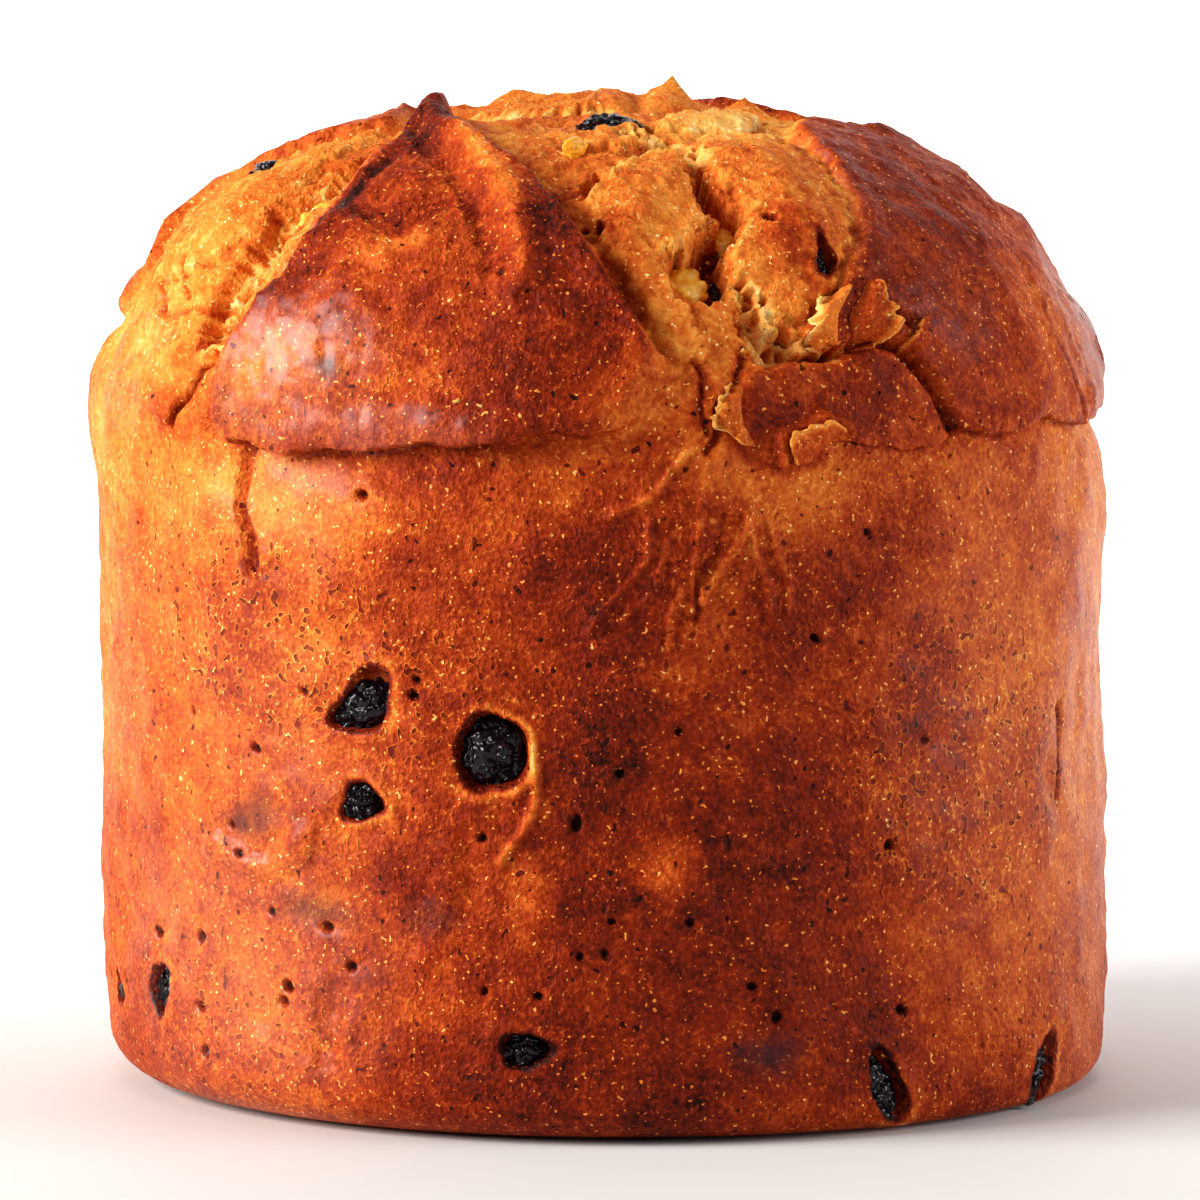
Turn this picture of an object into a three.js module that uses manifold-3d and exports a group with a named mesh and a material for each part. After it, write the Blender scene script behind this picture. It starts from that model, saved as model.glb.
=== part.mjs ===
// A tall panettone without its paper case: a straight-sided sweet loaf with a domed top that was
// scored in a cross, so four browned flaps of crust stand round four torn golden arms. Raisins and
// pieces of candied peel sit in pockets of their own in the wall and in the torn top.
// Millimetres, +Z up, the middle of the flat base at the origin, the side that is shown facing -Y.
// A place on the crust is given as a bearing, in degrees round from -Y towards +X, and a drop, the
// way down along the crust from the crown.
import * as THREE from 'three';
import { mergeVertices } from 'three/addons/utils/BufferGeometryUtils.js';
import Module from 'manifold-3d';

const LOAF_RADIUS = 77;       // a 750 g mould is 154 across
const LOAF_HEIGHT = 150.5;
const DOME_FOOT = 101;        // height at which the dome meets the straight wall
const DOME_POWER = 2.3;       // fullness of the dome: 2 is an ellipse
const CORNER_IN = 10;         // rounding of the bottom edge, inwards and upwards
const CORNER_UP = 8;
const CORNER_FADE = 22;       // height over which a tighter corner passes into the wall
const TIGHT_BEARING = 58;     // the corner is tighter on the right-hand side
const TIGHT_SPREAD = 42;
const TIGHT_SHARE = 0.6;
const LEAN = 1.1;             // the foot stands this far to the right of the shoulders
const LEAN_TOP = 75;

const COLUMNS = 72;           // round the wall; half as many near the crown, a quarter at it
const FRONT_CROWDING = 0.36;  // columns crowd together towards the shown side
const QUARTER_COLUMNS_TO = 10;
const HALF_COLUMNS_TO = 24;
const ROW_BANDS = [           // rows of the crust: down to a drop, in steps
  { to: 10, step: 5 }, { to: 40, step: 4 }, { to: 97, step: 3.35 },
  { to: 108, step: 1.85 }, { to: 200, step: 7 }, { to: 210.5, step: 2.6 },
];
const REACH_OF_RELIEF = 203;  // the bottom corner is smooth below this drop

const WALL_LEVEL = 0;         // heights are measured out from the plain form
const TORN_LEVEL = -2.1;      // torn crumb between the flaps
const TORN_FADE = [86, 101];  // drops over which the torn level runs out into the wall
const CREASE_DEPTH = 1.9;     // the wall is drawn in under a flap's hanging edge
const CREASE_REACH = 6;
const CREASE_FROM = 96;       // only an edge lower than this drop hangs over the wall
const TORN_ROUGHNESS = 0.7;
const WALL_ROUGHNESS = 0.35;
const EDGE_WANDER = 1.3;      // mm by which the edges wander
const FINEST_LINE = 2.2;      // half-width of the narrowest fold that the facets can carry

// Flaps of browned crust: level, width of the slope at the edge, and outline [bearing, drop].
const FLAPS = [
  {
    level: 1.8, slope: 4.2, outline: [[-38, 40.5], [-40, 52], [-40, 62], [-41.3, 78], [-45.5, 88],
      [-46.5, 97], [-44, 102.8], [-22, 102.2], [-3, 101], [5, 94.5], [4.6, 86], [0, 76.5],
      [-8, 60.4], [-21, 44.5], [-33, 36]],
  },
  {
    level: 0.4, slope: 3, outline: [[52.7, 35.7], [43.5, 45], [40.2, 57], [36.8, 66.5],
      [31.7, 75.3], [25.5, 84], [23.2, 88.9], [29.7, 88.1], [36.3, 89.5], [40.8, 96], [43.5, 101],
      [58, 100.8], [73, 101.2], [92, 100.5], [101, 96], [104, 82], [100, 63], [88, 47], [70, 37]],
  },
  {
    level: -0.2, slope: 2.4, outline: [[18.2, 89], [23.2, 90.4], [30, 89.8], [36, 91.4], [40, 96.5],
      [43, 101.2], [36, 102.6], [28, 101.9], [23.5, 104], [20.5, 106], [15, 101], [16, 94]],
  },
  {
    level: 0.5, slope: 3, outline: [[-62, 36], [-72, 48.5], [-83, 57.5], [-89, 65], [-85, 76],
      [-95, 86], [-117, 97.5], [-140, 101.5], [-154, 98], [-160, 82], [-153, 56], [-132, 38],
      [-96, 29]],
  },
  {
    level: 0.6, slope: 3.2, outline: [[136, 30], [119, 48], [112, 70], [110, 88], [113, 100.5],
      [150, 103], [180, 101.5], [192, 97], [197, 80], [191, 58], [180, 42], [158, 30]],
  },
];

// Raised places and hollows: bearing, drop, height, and reach along and down the crust.
const SWELLS = [
  { at: [-37.5, 42], out: 4.6, reach: [12, 13], peak: true },   // the tip of the front flap
  { at: [136, 31], out: 2.4, reach: [10, 10], peak: true },     // tips of the flaps behind
  { at: [150, 20], out: 2.0, reach: [7, 6], peak: true },
  { at: [-64, 37], out: 1.2, reach: [9, 8], peak: true },
  { at: [-90, 101], out: 1.6, reach: [52, 17] },                // the left shoulder
  { at: [90, 122], out: 0.8, reach: [40, 18] },                 // the right wall
  { at: [92, 172], out: 0.5, reach: [50, 34] },
  { at: [72, 78], out: -1.7, reach: [24, 22] },                 // dip across the right flap
  { at: [55, 48], out: 1.0, reach: [17, 13] },                  // its crown
  { at: [-28, 86], out: 1.7, reach: [34, 15] },                 // the front flap's glossy roll
  { at: [-6, 79], out: 1.1, reach: [13, 22] },
  { at: [2, 62], out: 1.5, reach: [12, 16] },                   // golden lobes of the front tear
  { at: [27, 62], out: 1.7, reach: [10, 20] },
  { at: [-64, 66], out: 1.5, reach: [11, 20] },                 // and of the left tear
  { at: [-25, 112.5], out: 0.9, reach: [12, 7] },               // bumps under the front lip
  { at: [-38, 160], out: 0.8, reach: [22, 12] },
  { at: [-18, 24], out: -1.3, reach: [13, 12] },                // dips beside the crown
  { at: [48, 20], out: -1.2, reach: [14, 10] },
];

// Folds (height above 0) and fissures (below 0): half-width and line [bearing, drop].
const FOLDS = [
  { out: 1.2, half: 4, line: [[-36, 45], [-27, 48], [-19, 58], [-14, 69], [-12, 79]] },
  { out: -1.6, half: 3.6, line: [[-39, 66], [-33, 67.5], [-27, 66.5], [-21, 64]] },
  { out: 0.9, half: 3, line: [[-30, 40], [-20, 47], [-8, 63], [0, 78], [4, 88]] },
  { out: -2.2, half: 3.4, line: [[-46, 47], [-47.5, 60], [-50, 72], [-50.6, 86]] },
  { out: -1.9, half: 2, line: [[-48.8, 90], [-51.8, 95], [-55.2, 98.6], [-55.8, 101]] },
  { out: -1.0, half: 2, line: [[-75, 77], [-70.8, 80.2], [-65, 83.8], [-59, 85], [-53, 81]] },
  { out: -3.4, half: 2.6, line: [[14, 34], [17.5, 48], [18, 56], [17.8, 66]] },
  { out: -5.6, half: 4.6, line: [[16.5, 67], [13, 73], [13.4, 80], [14.2, 86.5]] },
  { out: -2.4, half: 1.8, line: [[16, 88], [14.7, 93.8], [12.4, 99], [11.6, 103]] },
  { out: -1.6, half: 1.6, line: [[10.3, 87.5], [11, 92], [11.2, 100]] },
  { out: -1.7, half: 1.8, line: [[23, 89.6], [30, 88.9], [36.4, 90.4], [40.4, 96.4], [43.5, 101]] },
  { out: 0.9, half: 2, line: [[53, 36], [43.5, 45.4], [40.6, 57], [36.4, 67], [31, 76.6], [25, 86]] },
  { out: 1.4, half: 2, line: [[20.3, 105], [20.5, 101.6], [24.7, 99.4], [28, 100]] },
  { out: 1.3, half: 2, line: [[30.4, 87.4], [31.6, 83.6], [34.4, 80.6]] },
  { out: -1.5, half: 2, line: [[33.4, 86.6], [35.6, 83.6], [38, 86]] },
  { out: -1.6, half: 1.8, line: [[66, 84], [66.6, 91], [68, 96], [70, 101]] },
  { out: -1.2, half: 1.7, line: [[84, 92], [83, 98], [85, 102]] },
  { out: -1.3, half: 2.2, line: [[-42.7, 104.5], [-43.4, 112], [-41.7, 118], [-41.7, 122]] },
  { out: 0.8, half: 2.2, line: [[7, 112], [4.6, 120], [1.8, 127]] },
  { out: 0.7, half: 2.2, line: [[12, 118], [9.6, 127], [5, 134]] },
  { out: 0.7, half: 2.2, line: [[19, 113], [16, 121], [14, 128]] },
  { out: 0.9, half: 3, line: [[-48, 164], [-43, 165.4], [-38, 164.6], [-34, 161]] },
  { out: -0.9, half: 3, line: [[-31.5, 184], [-32.2, 198]] },
  { out: 0.7, half: 2.4, line: [[-16.7, 161], [-17.4, 170], [-19, 176]] },
  { out: -3.2, half: 3.4, line: [[104, 30], [106, 50], [106, 70], [107, 92]] },
  { out: -3.2, half: 3.4, line: [[-160, 26], [-164, 48], [-166, 70], [-166, 94]] },
  { out: -1.5, half: 2, line: [[-166, 94], [-168, 101], [-165, 108]] },
  { out: -1.4, half: 2, line: [[107, 92], [105, 99], [107, 107]] },
  { out: -1.8, half: 2.6, line: [[-30, 9], [60, 8], [150, 9]] },
];

// Fruit: place, size along, across and thick, turn of its length up from level, and how far its
// middle lies under the crust around it. A chunk is squarish, the rest are wrinkled and oval.
const RAISIN_FACETS = 2;
const PLAIN_FACETS = 1;       // of a piece of peel, and of a raisin on the far side
const POCKET_GAP = 0.4;       // all round a fruit in its pocket
const POCKET_SHARE = 1.05;    // and this much wider, as both are faceted
const POCKET_FACETS = 1;
const FRUIT = {
  raisin_window: { at: [-27.3, 140.9], size: [12.5, 8.6, 7], turn: 28, under: 2.1 },
  raisin_large: { at: [-12.2, 146.9], size: [12.4, 12, 8], turn: 60, under: 2 },
  raisin_small: { at: [-27.7, 155.3], size: [8.4, 7.4, 6], turn: 40, under: 1.9 },
  raisin_low_left: { at: [-60.3, 187], size: [9, 7, 6], turn: 95, under: 1.7 },
  raisin_split: { at: [-9.7, 190.2], size: [9, 6.4, 6], turn: 5, under: 1.9 },
  raisin_long: { at: [31.5, 195], size: [13, 6.4, 5.6], turn: -62, under: 1.5 },
  raisin_right: { at: [57.7, 195.5], size: [12.5, 7.4, 6], turn: 68, under: 1.7 },
  raisin_edge: { at: [-73.5, 188.6], size: [8, 6, 5], turn: 90, under: 1.4 },
  raisin_crown: { at: [3.5, 27], size: [12, 8.6, 7], turn: 8, under: 0.4 },
  raisin_shoulder: { at: [-70.7, 56], size: [10, 6.6, 6], turn: 30, under: 1.1 },
  raisin_slot: { at: [28, 72.7], size: [8.6, 5, 5.2], turn: 84, under: 1.5 },
  raisin_cavity: { at: [16.2, 74.4], size: [8, 4.2, 4.6], turn: 80, under: 2 },
  peel_shard: { at: [-5.3, 43], size: [8, 6, 3.4], turn: 60, under: 0.2, chunk: true },
  peel_chunk: { at: [10.9, 75], size: [7.2, 6.6, 5.6], turn: 40, under: 1.2, chunk: true },
  peel_green: { at: [19, 63.5], size: [7, 4.2, 4.4], turn: 80, under: 1.2, chunk: true },
  peel_amber: { at: [14.6, 83.6], size: [7, 5, 4], turn: 70, under: 1.2, chunk: true },
  peel_orange: { at: [-46.8, 62.5], size: [8, 3.6, 4], turn: 55, under: 0.9, chunk: true },
  raisin_back_a: { at: [101, 149], size: [12, 9, 7], turn: 20, under: 2, behind: true },
  raisin_back_b: { at: [133, 178], size: [9, 8, 6], turn: 100, under: 1.8, behind: true },
  raisin_back_c: { at: [152, 129], size: [11, 10, 7], turn: 50, under: 2, behind: true },
  raisin_back_d: { at: [-175, 165], size: [12, 8, 6.6], turn: -30, under: 1.9, behind: true },
  raisin_back_e: { at: [-150, 192], size: [11, 7, 6], turn: 10, under: 1.7, behind: true },
  raisin_back_f: { at: [-133, 138], size: [10, 9, 7], turn: 70, under: 2, behind: true },
  raisin_back_g: { at: [-104, 166], size: [11, 7.4, 6], turn: -50, under: 1.8, behind: true },
  raisin_back_h: { at: [101, 62], size: [10, 7.6, 6.4], turn: 80, under: 1, behind: true },
  raisin_back_i: { at: [-171, 60], size: [11, 8, 7], turn: 60, under: 0.9, behind: true },
  peel_back_a: { at: [110, 74], size: [7, 6, 5], turn: 30, under: 0.9, behind: true, chunk: true },
  peel_back_b: { at: [-158, 40], size: [8, 6, 4.6], turn: -20, under: 0.8, behind: true, chunk: true },
  peel_back_c: { at: [160, 156], size: [7, 5, 4.6], turn: 15, under: 1.2, behind: true, chunk: true },
};

const radians = THREE.MathUtils.degToRad;
const { lerp, clamp, smoothstep } = THREE.MathUtils;

// The plain form's outline as [radius, height] from the crown to the edge of the flat base.
const DOME_STEPS = 240;
const CORNER_STEPS = 24;

function plainOutline() {
  const points = [];
  for (let i = 0; i <= DOME_STEPS; i += 1) {
    const turn = (i / DOME_STEPS) * (Math.PI / 2);
    const radius = LOAF_RADIUS * Math.sin(turn) ** (2 / DOME_POWER);
    const rise = (LOAF_HEIGHT - DOME_FOOT) * Math.max(Math.cos(turn), 0) ** (2 / DOME_POWER);
    points.push([radius, DOME_FOOT + rise]);
  }
  for (let i = 0; i <= CORNER_STEPS; i += 1) {
    const turn = (i / CORNER_STEPS) * (Math.PI / 2);
    const inset = CORNER_IN * (1 - Math.max(Math.cos(turn), 0) ** 0.9);
    points.push([LOAF_RADIUS - inset, CORNER_UP * (1 - Math.sin(turn) ** 0.9)]);
  }
  return points;
}

const OUTLINE = plainOutline();
const DROPS = [0];
for (let i = 1; i < OUTLINE.length; i += 1) {
  const [radius, height] = OUTLINE[i];
  DROPS.push(DROPS[i - 1] + Math.hypot(radius - OUTLINE[i - 1][0], height - OUTLINE[i - 1][1]));
}
const LOWEST_DROP = DROPS[DROPS.length - 1];

function outlineAt(drop) {
  const i = clamp(DROPS.findIndex((d) => d > drop), 1, DROPS.length - 1) || DROPS.length - 1;
  const at = drop >= LOWEST_DROP ? DROPS.length - 1 : i;
  const share = clamp((drop - DROPS[at - 1]) / (DROPS[at] - DROPS[at - 1]), 0, 1);
  return [0, 1].map((k) => lerp(OUTLINE[at - 1][k], OUTLINE[at][k], share));
}

// The plain form, with its tighter corner on the right and its slight lean.
function plainPoint(bearing, drop) {
  const [radius, height] = outlineAt(Math.max(drop, 0));
  const turned = (bearing - TIGHT_BEARING) / TIGHT_SPREAD;
  const corner = 1 - TIGHT_SHARE * Math.exp(-turned * turned);
  const low = height < DOME_FOOT;
  const r = low ? LOAF_RADIUS - corner * (LOAF_RADIUS - radius) : radius;
  const z = low ? height * lerp(corner, 1, smoothstep(height, 0, CORNER_FADE)) : height;
  const lean = LEAN * (1 - smoothstep(height, 0, LEAN_TOP));
  const turn = radians(bearing);
  return new THREE.Vector3(r * Math.sin(turn) + lean, -r * Math.cos(turn), z);
}

// Directions on the crust: to the right, down, and out of it.
function directions(bearing, drop) {
  const step = 0.05;
  const turn = radians(bearing);
  const right = new THREE.Vector3(Math.cos(turn), Math.sin(turn), 0);
  const down = plainPoint(bearing, Math.min(drop, LOWEST_DROP - step) + step)
    .sub(plainPoint(bearing, Math.min(drop, LOWEST_DROP - step) - step)).normalize();
  return { right, down, out: new THREE.Vector3().crossVectors(down, right).normalize() };
}

// A smooth uneven field between -1 and 1, made of crossing waves of about the given length.
function unevenness(p, length, seed) {
  const k = (2 * Math.PI) / length;
  const a = Math.sin(k * (p.x + 0.6 * p.z) + seed + 1.3 * Math.sin(k * 0.7 * p.y + 2 * seed));
  const b = Math.sin(k * (0.8 * p.y - 0.7 * p.z) + 3 * seed + 1.1 * Math.sin(k * 0.6 * p.x + seed));
  const c = Math.sin(k * (0.9 * p.z + 0.5 * p.x - 0.4 * p.y) + 5 * seed);
  return (a + b + c) / 3;
}

// A smooth line through [bearing, drop] knots, with its places in space.
const LINE_STEP = 4;

function trace(knots, closed) {
  const at = (i) => (closed ? knots[(i + knots.length) % knots.length]
    : knots[clamp(i, 0, knots.length - 1)]);
  const places = [];
  const spans = closed ? knots.length : knots.length - 1;
  for (let i = 0; i < spans; i += 1) {
    const near = [at(i - 1), at(i), at(i + 1), at(i + 2)];
    const length = plainPoint(...near[1]).distanceTo(plainPoint(...near[2]));
    const steps = Math.max(1, Math.round(length / LINE_STEP));
    for (let j = 0; j < steps; j += 1) {
      const t = j / steps;
      places.push([0, 1].map((k) => {
        const [a, b, c, d] = near.map((knot) => knot[k]);
        return b + 0.5 * t * (c - a + t * (2 * a - 5 * b + 4 * c - d + t * (3 * (b - c) + d - a)));
      }));
    }
  }
  places.push(closed ? places[0] : at(spans));
  return { places, points: places.map((place) => plainPoint(...place)) };
}

function distanceToLine(point, line) {
  let nearest = Infinity;
  const foot = new THREE.Vector3();
  for (let i = 1; i < line.points.length; i += 1) {
    new THREE.Line3(line.points[i - 1], line.points[i]).closestPointToPoint(point, true, foot);
    nearest = Math.min(nearest, foot.distanceTo(point));
  }
  return nearest;
}

function isInside(bearing, drop, places) {
  const middle = places.reduce((sum, place) => sum + place[0], 0) / places.length;
  const b = bearing - 360 * Math.round((bearing - middle) / 360);
  let inside = false;
  for (let i = 1; i < places.length; i += 1) {
    const [b0, d0] = places[i - 1];
    const [b1, d1] = places[i];
    if ((d0 > drop) !== (d1 > drop) && b < b0 + ((drop - d0) / (d1 - d0)) * (b1 - b0)) {
      inside = !inside;
    }
  }
  return inside;
}

const flapLines = FLAPS.map((flap) => ({ ...flap, edge: trace(flap.outline, true) }));
const foldLines = FOLDS.map((fold) => ({ ...fold, course: trace(fold.line, false) }));

// How much of a flap lies over a place, 0 to 1, and how far outside its edge the place is.
function flapCover(flap, bearing, drop, point) {
  const distance = distanceToLine(point, flap.edge);
  const signed = isInside(bearing, drop, flap.edge.places) ? distance : -distance;
  return { cover: smoothstep(signed, -flap.slope / 2, flap.slope / 2), outside: -signed };
}

function swellAt(swell, bearing, point) {
  const middle = plainPoint(...swell.at);
  const { right, down } = directions(...swell.at);
  const gap = point.clone().sub(middle);
  const x = gap.dot(right) / swell.reach[0];
  const y = gap.dot(down) / swell.reach[1];
  const far = Math.hypot(x, y);
  if (far >= 1) return 0;
  return swell.out * (swell.peak ? (1 - far) ** 1.5 : (1 - far * far) ** 2);
}

function foldAt(fold, point) {
  const far = distanceToLine(point, fold.course) / Math.max(fold.half, FINEST_LINE);
  return far >= 1 ? 0 : fold.out * (1 - far * far) ** 1.5;
}

// How far the crust stands out from the plain form.
function relief(bearing, drop) {
  const start = plainPoint(bearing, drop);
  const wanderB = unevenness(start, 17, 1.9) * EDGE_WANDER * (40 / Math.max(drop, 40));
  const b = bearing + wanderB;
  const d = drop + unevenness(start, 15, 4.1) * EDGE_WANDER * smoothstep(drop, 8, 30);
  const point = plainPoint(b, d);
  const torn = smoothstep(d, 4, 20) * (1 - smoothstep(d, ...TORN_FADE));
  let level = lerp(WALL_LEVEL, TORN_LEVEL, torn);
  let covered = 0;
  for (const flap of flapLines) {
    const { cover, outside } = flapCover(flap, b, d, point);
    if (outside > 0 && d > CREASE_FROM) {
      level -= CREASE_DEPTH * Math.exp(-outside / CREASE_REACH) * (1 - cover)
        * smoothstep(d, CREASE_FROM, CREASE_FROM + 6);
    }
    level = lerp(level, flap.level, cover);
    covered = Math.max(covered, cover);
  }
  for (const swell of SWELLS) level += swellAt(swell, b, point);
  for (const fold of foldLines) level += foldAt(fold, point);
  level += unevenness(point, 13, 2.7) * TORN_ROUGHNESS * torn * (1 - covered);
  level += unevenness(point, 34, 0.8) * WALL_ROUGHNESS;
  return level * (1 - smoothstep(drop, REACH_OF_RELIEF - 14, REACH_OF_RELIEF));
}

function crustPoint(bearing, drop) {
  const { out } = directions(bearing, drop);
  return plainPoint(bearing, drop).addScaledVector(out, relief(bearing, drop));
}

function rowDrops() {
  const drops = [];
  let from = 0;
  for (const { to, step } of ROW_BANDS) {
    const end = Math.min(to, LOWEST_DROP);
    const count = Math.max(1, Math.round((end - from) / step));
    for (let i = 1; i <= count; i += 1) drops.push(from + ((end - from) * i) / count);
    from = end;
  }
  return drops;
}

function columnCount(drop) {
  if (drop <= QUARTER_COLUMNS_TO) return COLUMNS / 4;
  return drop <= HALF_COLUMNS_TO ? COLUMNS / 2 : COLUMNS;
}

function columnBearing(share) {
  const turn = 2 * Math.PI * share;
  return THREE.MathUtils.radToDeg(turn - FRONT_CROWDING * Math.sin(turn));
}

// The loaf as one closed mesh: a crown point, rings down the crust, and the middle of the base.
function loafGeometry() {
  const positions = [];
  const faces = [];
  const put = (point) => positions.push(point.x, point.y, point.z) / 3 - 1;
  const rings = rowDrops().map((drop) => {
    const count = columnCount(drop);
    return Array.from({ length: count }, (_, i) => put(crustPoint(columnBearing(i / count), drop)));
  });
  const crown = put(crustPoint(0, 0));
  const base = put(new THREE.Vector3(LEAN, 0, 0));
  const first = rings[0];
  first.forEach((v, i) => faces.push(crown, v, first[(i + 1) % first.length]));
  for (let r = 1; r < rings.length; r += 1) {
    const upper = rings[r - 1];
    const lower = rings[r];
    const share = lower.length / upper.length;
    upper.forEach((a, i) => {
      const b = upper[(i + 1) % upper.length];
      const under = Array.from({ length: share + 1 }, (_, k) => lower[(i * share + k) % lower.length]);
      faces.push(a, under[0], under[1]);
      if (share === 2) faces.push(a, under[1], b, b, under[1], under[2]);
      else faces.push(a, under[1], b);
    });
  }
  const last = rings[rings.length - 1];
  last.forEach((v, i) => faces.push(base, last[(i + 1) % last.length], v));
  const geometry = new THREE.BufferGeometry();
  geometry.setAttribute('position', new THREE.Float32BufferAttribute(positions, 3));
  geometry.setIndex(faces);
  return geometry;
}

function plainMesh(geometry) {
  const bare = geometry.clone();
  bare.deleteAttribute('normal');
  bare.deleteAttribute('uv');
  return mergeVertices(bare, 1e-4);
}

// Where a fruit lies: its middle, and its directions along, across and through the crust.
function fruitPlacement(fruit) {
  const [bearing, drop] = fruit.at;
  const { right, down, out } = directions(bearing, drop);
  const turn = radians(fruit.turn);
  const along = right.clone().multiplyScalar(Math.cos(turn)).addScaledVector(down, -Math.sin(turn));
  const across = new THREE.Vector3().crossVectors(out, along);
  const middle = crustPoint(bearing, drop).addScaledVector(out, -fruit.under);
  return new THREE.Matrix4().makeBasis(along, across, out).setPosition(middle);
}

const WRINKLE = 0.1;
const CHUNK_FULLNESS = 0.75;

function fruitGeometry(fruit, seed) {
  const facets = fruit.behind || fruit.chunk ? PLAIN_FACETS : RAISIN_FACETS;
  const shape = plainMesh(new THREE.IcosahedronGeometry(1, facets));
  const place = shape.getAttribute('position');
  const p = new THREE.Vector3();
  for (let i = 0; i < place.count; i += 1) {
    p.fromBufferAttribute(place, i);
    const dent = WRINKLE * (0.5 + 0.5 * unevenness(p, 1.1, seed));
    const widest = Math.max(Math.abs(p.x), Math.abs(p.y), Math.abs(p.z));
    const full = fruit.chunk ? Math.min(1, (1 / widest) ** CHUNK_FULLNESS * 0.84) : 1;
    p.multiplyScalar(full * (1 - dent));
    place.setXYZ(i, ...[p.x, p.y, p.z].map((c, k) => (c * fruit.size[k]) / 2));
  }
  return shape;
}

function pocketGeometry(fruit) {
  const shape = plainMesh(new THREE.IcosahedronGeometry(1, POCKET_FACETS));
  const half = fruit.size.map((size) => (size / 2 + POCKET_GAP) * POCKET_SHARE);
  return shape.scale(...half);
}

const wasm = await Module();
wasm.setup();

function toSolid(geometry) {
  const vertProperties = new Float32Array(geometry.getAttribute('position').array);
  const triVerts = new Uint32Array(geometry.index.array);
  return new wasm.Manifold(new wasm.Mesh({ numProp: 3, vertProperties, triVerts }));
}

function toGeometry(solid) {
  const mesh = solid.getMesh();
  const geometry = new THREE.BufferGeometry();
  geometry.setAttribute('position', new THREE.BufferAttribute(new Float32Array(mesh.vertProperties), 3));
  geometry.setIndex(new THREE.BufferAttribute(new Uint32Array(mesh.triVerts), 1));
  return geometry;
}

const crustMaterial = new THREE.MeshStandardMaterial({ color: 0xa9531f, roughness: 0.5, metalness: 0 });
const raisinMaterial = new THREE.MeshStandardMaterial({ color: 0x1d1218, roughness: 0.3, metalness: 0 });
const peelMaterial = new THREE.MeshStandardMaterial({ color: 0xe6a12e, roughness: 0.35, metalness: 0 });

const panettone = new THREE.Group();

function addPiece(name, geometry, material) {
  const mesh = new THREE.Mesh(geometry, material.clone());
  mesh.name = name;
  panettone.add(mesh);
  return mesh;
}

let loaf = toSolid(loafGeometry());
Object.entries(FRUIT).forEach(([name, fruit], index) => {
  const placement = fruitPlacement(fruit);
  loaf = loaf.subtract(toSolid(pocketGeometry(fruit).applyMatrix4(placement)));
  const material = name.startsWith('peel') ? peelMaterial : raisinMaterial;
  addPiece(name, fruitGeometry(fruit, index + 1), material).applyMatrix4(placement);
});
addPiece('loaf', toGeometry(loaf), crustMaterial);

export default panettone;
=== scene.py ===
"""Dresses a packed panettone: the browned and torn crust, the wrinkled raisins, the candied peel,
the curled flakes of skin and the crumbs along the tears, on a pale floor in soft light.

Places on the crust are a bearing, in degrees round from the shown side towards the right, and a
drop, the way down along the crust from the crown in millimetres. Heights stand out of the crust."""

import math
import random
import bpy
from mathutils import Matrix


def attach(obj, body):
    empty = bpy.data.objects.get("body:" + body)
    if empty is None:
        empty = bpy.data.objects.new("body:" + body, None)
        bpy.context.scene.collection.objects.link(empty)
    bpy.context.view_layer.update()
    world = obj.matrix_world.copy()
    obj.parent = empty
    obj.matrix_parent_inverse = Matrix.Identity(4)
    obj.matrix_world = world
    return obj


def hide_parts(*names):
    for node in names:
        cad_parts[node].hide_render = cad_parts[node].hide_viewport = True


bl_info = {
    "name": "Panettone Looks",
    "version": (1, 0, 0),
    "blender": (4, 5, 0),
    "location": "3D View > Sidebar > Panettone",
    "description": "Builds the crust, the fruit and the stage of a panettone round its frame",
    "category": "Add Mesh",
}

import bmesh
import bpy
import numpy as np
from bpy.props import FloatProperty, FloatVectorProperty, IntProperty, PointerProperty
from mathutils import Matrix, Vector, noise

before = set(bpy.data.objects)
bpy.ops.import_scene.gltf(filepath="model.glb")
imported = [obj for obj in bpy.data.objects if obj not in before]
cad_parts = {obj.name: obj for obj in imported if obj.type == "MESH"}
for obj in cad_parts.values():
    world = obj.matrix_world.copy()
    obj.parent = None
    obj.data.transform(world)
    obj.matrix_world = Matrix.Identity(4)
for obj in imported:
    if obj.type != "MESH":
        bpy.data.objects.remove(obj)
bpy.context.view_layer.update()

MM = 0.001

# The plain form of the loaf, in millimetres, with a tighter corner round one bearing in degrees
LOAF_RADIUS = 77.0
LOAF_HEIGHT = 150.5
DOME_FOOT = 101.0
DOME_POWER = 2.3
CORNER_IN, CORNER_UP, CORNER_FADE = 10.0, 8.0, 22.0
TIGHT_BEARING, TIGHT_SPREAD, TIGHT_SHARE = 58.0, 42.0, 0.6
LEAN, LEAN_TOP = 1.1, 75.0
REACH_OF_RELIEF = 203.0

# Levels of the crust out of the plain form, the drops where the torn top ends and where the crease
# under the lip begins, and how far edges stray, raggedly down to a drop, all in millimetres
TORN_LEVEL = -2.1
TORN_FADE = (86.0, 101.0)
CREASE_DEPTH, CREASE_REACH, CREASE_FROM = 1.9, 6.0, 96.0
LIP_SAG = 1.1
EDGE_WANDER = 1.3
RAGGED_EDGE, RAGGED_FROM, RAGGED_END = 1.0, 100.0, 112.0

# Bearings stray less below this drop, where the way round the loaf is longer
NARROW_DROP = 40

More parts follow.
